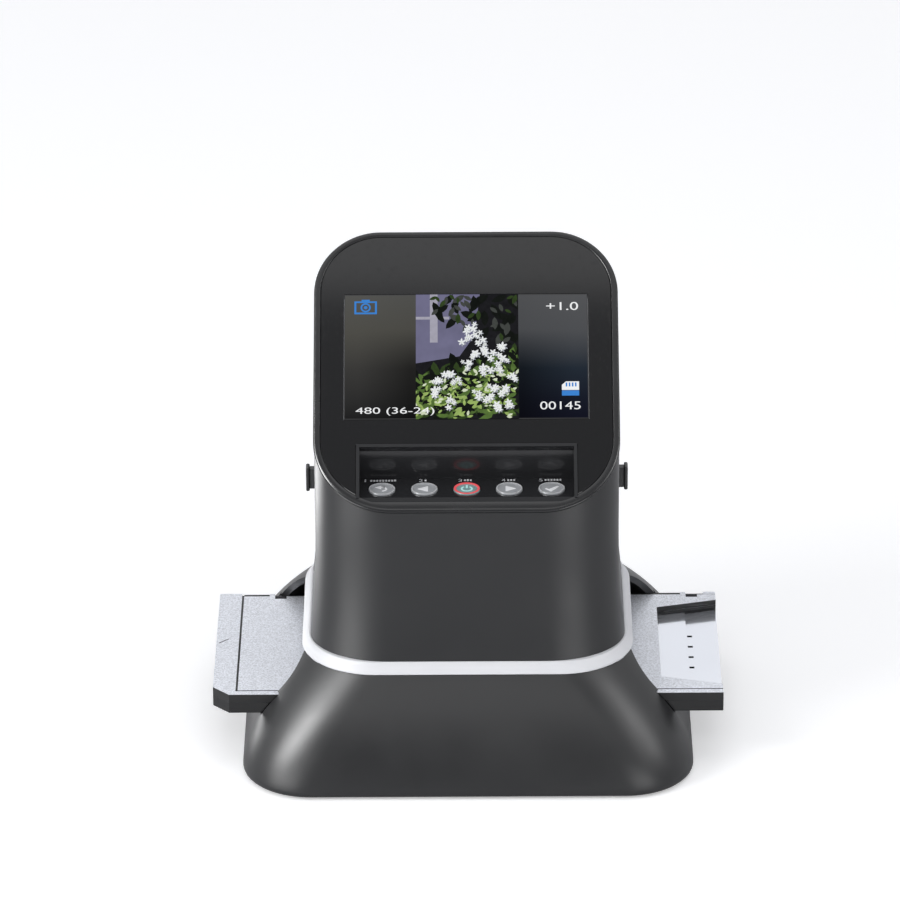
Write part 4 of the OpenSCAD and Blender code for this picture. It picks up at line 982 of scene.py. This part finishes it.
# Materials by their maker: name and what the maker takes after it
FINISHES = {
    moulded: {
        "housing_black": ((0.0108, 0.0112, 0.0124), 0.38, 1100, 3, 0.3, 0.08),
        "rim_satin": ((0.013, 0.0133, 0.0145), 0.24, 1300, 2, 0.2, 0.08),
        "inner_plastic": ((0.02, 0.02, 0.021), 0.55, 800, 4, 0.3),
        "tab_plastic": ((0.02, 0.0205, 0.022), 0.36, 1200, 3, 0.3),
        "black_component": ((0.025, 0.025, 0.027), 0.5, 1000, 4, 0.3),
        "white_plastic": ((0.72, 0.72, 0.71), 0.5, 700, 4, 0.2, 0.04),
        "key_silver": ((0.36, 0.37, 0.385), 0.36, 900, 2, 0.08, 0.03),
        "key_power": ((0.22, 0.36, 0.36), 0.36, 900, 2, 0.08, 0.03),
        "key_sign": ((0.9, 0.905, 0.92), 0.35, 900, 2, 0.1, 0.03),
        "key_label": ((0.6, 0.61, 0.63), 0.5, 900, 2, 0.1, 0.03),
        # Painted shade for the dark strips in the film holder's gaps
        "joint_line": ((0.004, 0.004, 0.0045), 0.6, 900, 2, 0.1, 0.05),
    },
    glossy: {
        "window_gloss": ((0.004, 0.0041, 0.005), 0.07, 0.5), "well_gloss": ((0.02, 0.0203, 0.022), 0.13, 0.55),
        "screen_face": ((0.004, 0.004, 0.005), 0.08, 0.4),
    },
    metal: {
        "pin_blackened": ((0.06, 0.06, 0.065), 0.3), "steel_brushed": ((0.56, 0.57, 0.59), 0.34),
        "band_silver": ((0.68, 0.685, 0.705), 0.5, (40.0, 40.0, 1500.0), 0.08, 0.0, 0.05),
        "key_rim": ((0.86, 0.87, 0.88), 0.3, (300.0, 300.0, 60.0), 0.02, 0.4),
    },
    # The film holder is black plastic; this colour is the painted silver reflection on its faces that look up
    holder_silver: {"holder_silver": ((0.85, 0.872, 0.93), 0.4)},
    rubber: {"foot_rubber": ((0.012, 0.012, 0.0125),)},
    circuit: {"circuit_board": ()}, diffuser: {"diffuser_plastic": ()},
    coated_glass: {"lens_glass": ((0.006, 0.004, 0.012),)},
    glow: {"power_red": ((0.75, 0.085, 0.1),), "power_teal": ((0.42, 0.72, 0.72),)},
    screen_colour: {
        "screen_edge": ((0.06, 0.06, 0.062),), "screen_white": ((0.86, 0.87, 0.88), 0.02),
        "screen_blue": ((0.045, 0.22, 0.62),), "picture_night": ((0.01, 0.01, 0.012), 0.5),
        "picture_wall": ((0.15, 0.145, 0.235), 0.25, 120.0), "picture_pale": ((0.36, 0.35, 0.42), 0.15),
        "leaf_black": ((0.006, 0.0075, 0.006), 0.4), "leaf_shade": ((0.05, 0.055, 0.05), 0.4),
        "leaf_deep": ((0.028, 0.05, 0.014), 0.5), "leaf_green": ((0.085, 0.15, 0.035), 0.45),
        "leaf_lime": ((0.3, 0.42, 0.12), 0.4), "leaf_pale": ((0.62, 0.68, 0.5), 0.3),
        "petal_shade": ((0.33, 0.35, 0.39), 0.3), "petal_white": ((0.8, 0.82, 0.83), 0.12),
    },
    screen_ground: {"screen_ground": ()}, floor_paper: {"floor_paper": ()},
}
MATS = {name: make(name, *values) for make, table in FINISHES.items() for name, values in table.items()}

# Solids that stay as the CAD has them: material, how far their edges are rounded in millimetres, and nodes
NODE_LOOKS = (
    ("housing_black", 0.4, "base_plate"), ("foot_rubber", 0.5, "rubber_feet"), ("well_gloss", 0.22, "key_well"),
    ("inner_plastic", 0.3, "film_tunnel upper_gate lens_carriage"), ("diffuser_plastic", 0, "diffuser"),
    ("white_plastic", 0.3, "light_box"), ("white_plastic", 0, "light_leds"), ("pin_blackened", 0.25, "chassis"),
    ("pin_blackened", 0, "hinge_pin"), ("black_component", 0.4, "lens_barrel"),
    ("black_component", 0, "key_switches"), ("screen_face", 0.1, "display_screen"),
    # holder_base and holder_lid take black plastic with a painted silver reflection on the faces that look up
    ("lens_glass", 0, "lens_glass image_sensor"), ("holder_silver", 0.45, "holder_base"),
    ("holder_silver", 0.35, "holder_lid"), ("circuit_board", 0.1, "main_board key_board"),
    ("circuit_board", 0, "led_board connector_board camera_board"),
    ("steel_brushed", 0.15, "bottom_screws rear_screws"), ("steel_brushed", 0.08, "usb_socket video_socket"),
    ("steel_brushed", 0.06, "card_socket"),
    ("steel_brushed", 0, "detent_springs guide_rods display_module main_board_screws holder_magnets"),
)


def dress_nodes():
    for finish, edge, names in NODE_LOOKS:
        for node in [frame["nodes"][name] for name in names.split()]:
            for slot in node.material_slots:
                slot.material = MATS[finish]
            if edge:
                node.modifiers.new("join", "WELD").merge_threshold = CLOSE
                bevel(node, edge, 2, 30)


# ---- studio

WORLD_LEVEL, FRONT_LOW, FRONT_HIGH = 0.53, 0.32, 0.42
FLOOR = 6000.0
# Name, kind, place, aim, size and power. The camera doesn't see low lamps and cards, and cards give shine only.
LAMPS = (
    ("key_left", "soft", (-1.25, -0.62, 1.0), (0, 0, 0.08), (0.5, 0.7), 7.7),
    ("fill_right", "soft", (1.15, -0.75, 0.95), (0, 0, 0.08), (0.5, 0.7), 2.6),
    ("top_soft", "soft", (0.0, 0.12, 1.7), (0, 0.12, 0.0), (1.2, 0.9), 3.3),
    ("front_top", "soft", (0.0, -1.15, 1.2), (0, 0, 0.05), (1.0, 0.4), 2.2),
    ("low_left", "low", (-0.27, -0.25, 0.03), (-0.03, -0.03, 0.09), (0.2, 0.12), 0.5),
    ("low_right", "low", (0.2, -0.29, 0.03), (0.03, -0.03, 0.09), (0.15, 0.1), 0.2),
    ("card_left", "card", (-0.85, -0.44, 0.78), (-0.06, -0.06, 0.03), (0.46, 0.85), 22.0),
    ("card_right", "card", (0.97, -0.29, 0.84), (0.06, -0.06, 0.03), (0.26, 0.8), 5.0),
    ("card_back_left", "card", (-0.2, 0.1, 0.012), (-0.058, -0.03, 0.08), (0.14, 0.1), 0.22),
)
CAMERA_AIM = Vector((-0.006527, -0.0025, 0.114568))
CAMERA_ANGLES = (25.534, 0.239, -0.388)  # rise, turn and roll
CAMERA_FAR, CAMERA_BODY = 2.32419, {"lens": 237.5, "sensor_width": 36.0, "clip_start": 0.05}


def area_lamp(name, kind, place, aim, size, power):
    data = assign(bpy.data.lights.new(name, "AREA"), shape="RECTANGLE", size=size[0], size_y=size[1], energy=power)
    turn = (Vector(aim) - Vector(place)).to_track_quat("-Z", "Y").to_euler()
    assign(linked(name, data), location=place, rotation_euler=turn, visible_camera=kind == "soft",
           visible_diffuse=kind != "card")


def keep_off(lamp_name, finishes):
    """Leaves the pieces of these finishes out of a lamp's light, so that flat glass doesn't mirror it whole."""
    spared = bpy.data.collections.new(lamp_name + "_spared")
    bpy.data.objects[lamp_name].light_linking.receiver_collection = spared
    glass = [MATS[finish] for finish in finishes]
    for piece in bpy.data.objects:
        if piece.type == "MESH" and piece.data.materials and piece.data.materials[0] in glass:
            spared.objects.link(piece)
    for item in spared.collection_objects:
        item.light_linking.link_state = "EXCLUDE"


def studio_world():
    """White to the camera; polished surfaces see it white behind the object and dimmer in front of it."""
    world = bpy.data.worlds.new("studio")
    bpy.context.scene.world = world
    world.use_nodes = True
    world.node_tree.nodes.clear()
    n = Nodes(world)

    def background(colour, strength):
        return n.add("Background", {"Color": colour, "Strength": strength})[0]

    def blend(fac, a, b):
        return n.add("MixShader", {0: fac, 1: a, 2: b})[0]

    path = n.add("LightPath")
    polished = n.math("MAXIMUM", path["Is Glossy Ray"], path["Is Transmission Ray"])
    _, y, z = n.split(n.at["Generated"])
    front = n.span(z, 0.1, 0.9, FRONT_LOW, FRONT_HIGH)
    around = background((0.94, 0.955, 1.0), WORLD_LEVEL)
    mirrored = background((0.97, 0.98, 1.0), n.span(y, -0.3, 0.45, front, 1.0))
    white = background((1.0, 1.0, 1.0), 1.0)
    n.add("OutputWorld", {"Surface": blend(path["Is Camera Ray"], blend(polished, around, mirrored), white)})


def studio():
    corners = [(x, y, 0.0) for x, y in rect(-FLOOR, -FLOOR, FLOOR, FLOOR)]
    new_piece("floor", corners, [(0, 1, 2, 3)], "floor_paper")
    studio_world()
    for lamp in LAMPS:
        area_lamp(*lamp)
    bpy.context.scene.view_settings.view_transform = "Standard"


def camera():
    data = assign(bpy.data.cameras.new("view"), **CAMERA_BODY)
    (rise_x, rise_y), (turn_x, turn_y), (roll_x, roll_y) = (polar(1.0, a) for a in CAMERA_ANGLES)
    back = Vector((turn_y * rise_x, -turn_x * rise_x, rise_y))
    level = Vector((turn_x, turn_y, 0.0))
    up = back.cross(level)
    turn = Matrix((level * roll_x + up * roll_y, up * roll_x - level * roll_y, back)).transposed().to_4x4()
    cam = assign(linked("view", data), matrix_world=Matrix.Translation(CAMERA_AIM + back * CAMERA_FAR) @ turn)
    bpy.context.scene.camera = cam


# ---- the object

camera()
studio()
dress_nodes()
for make in (make_skirt, make_band, make_tower, make_seam_lips, make_slot_brushes, make_rim, make_window,
             make_readout, make_picture, make_keys, make_labels, make_tabs, make_holder_lines):
    make()
keep_off("card_left", ("window_gloss", "screen_ground"))
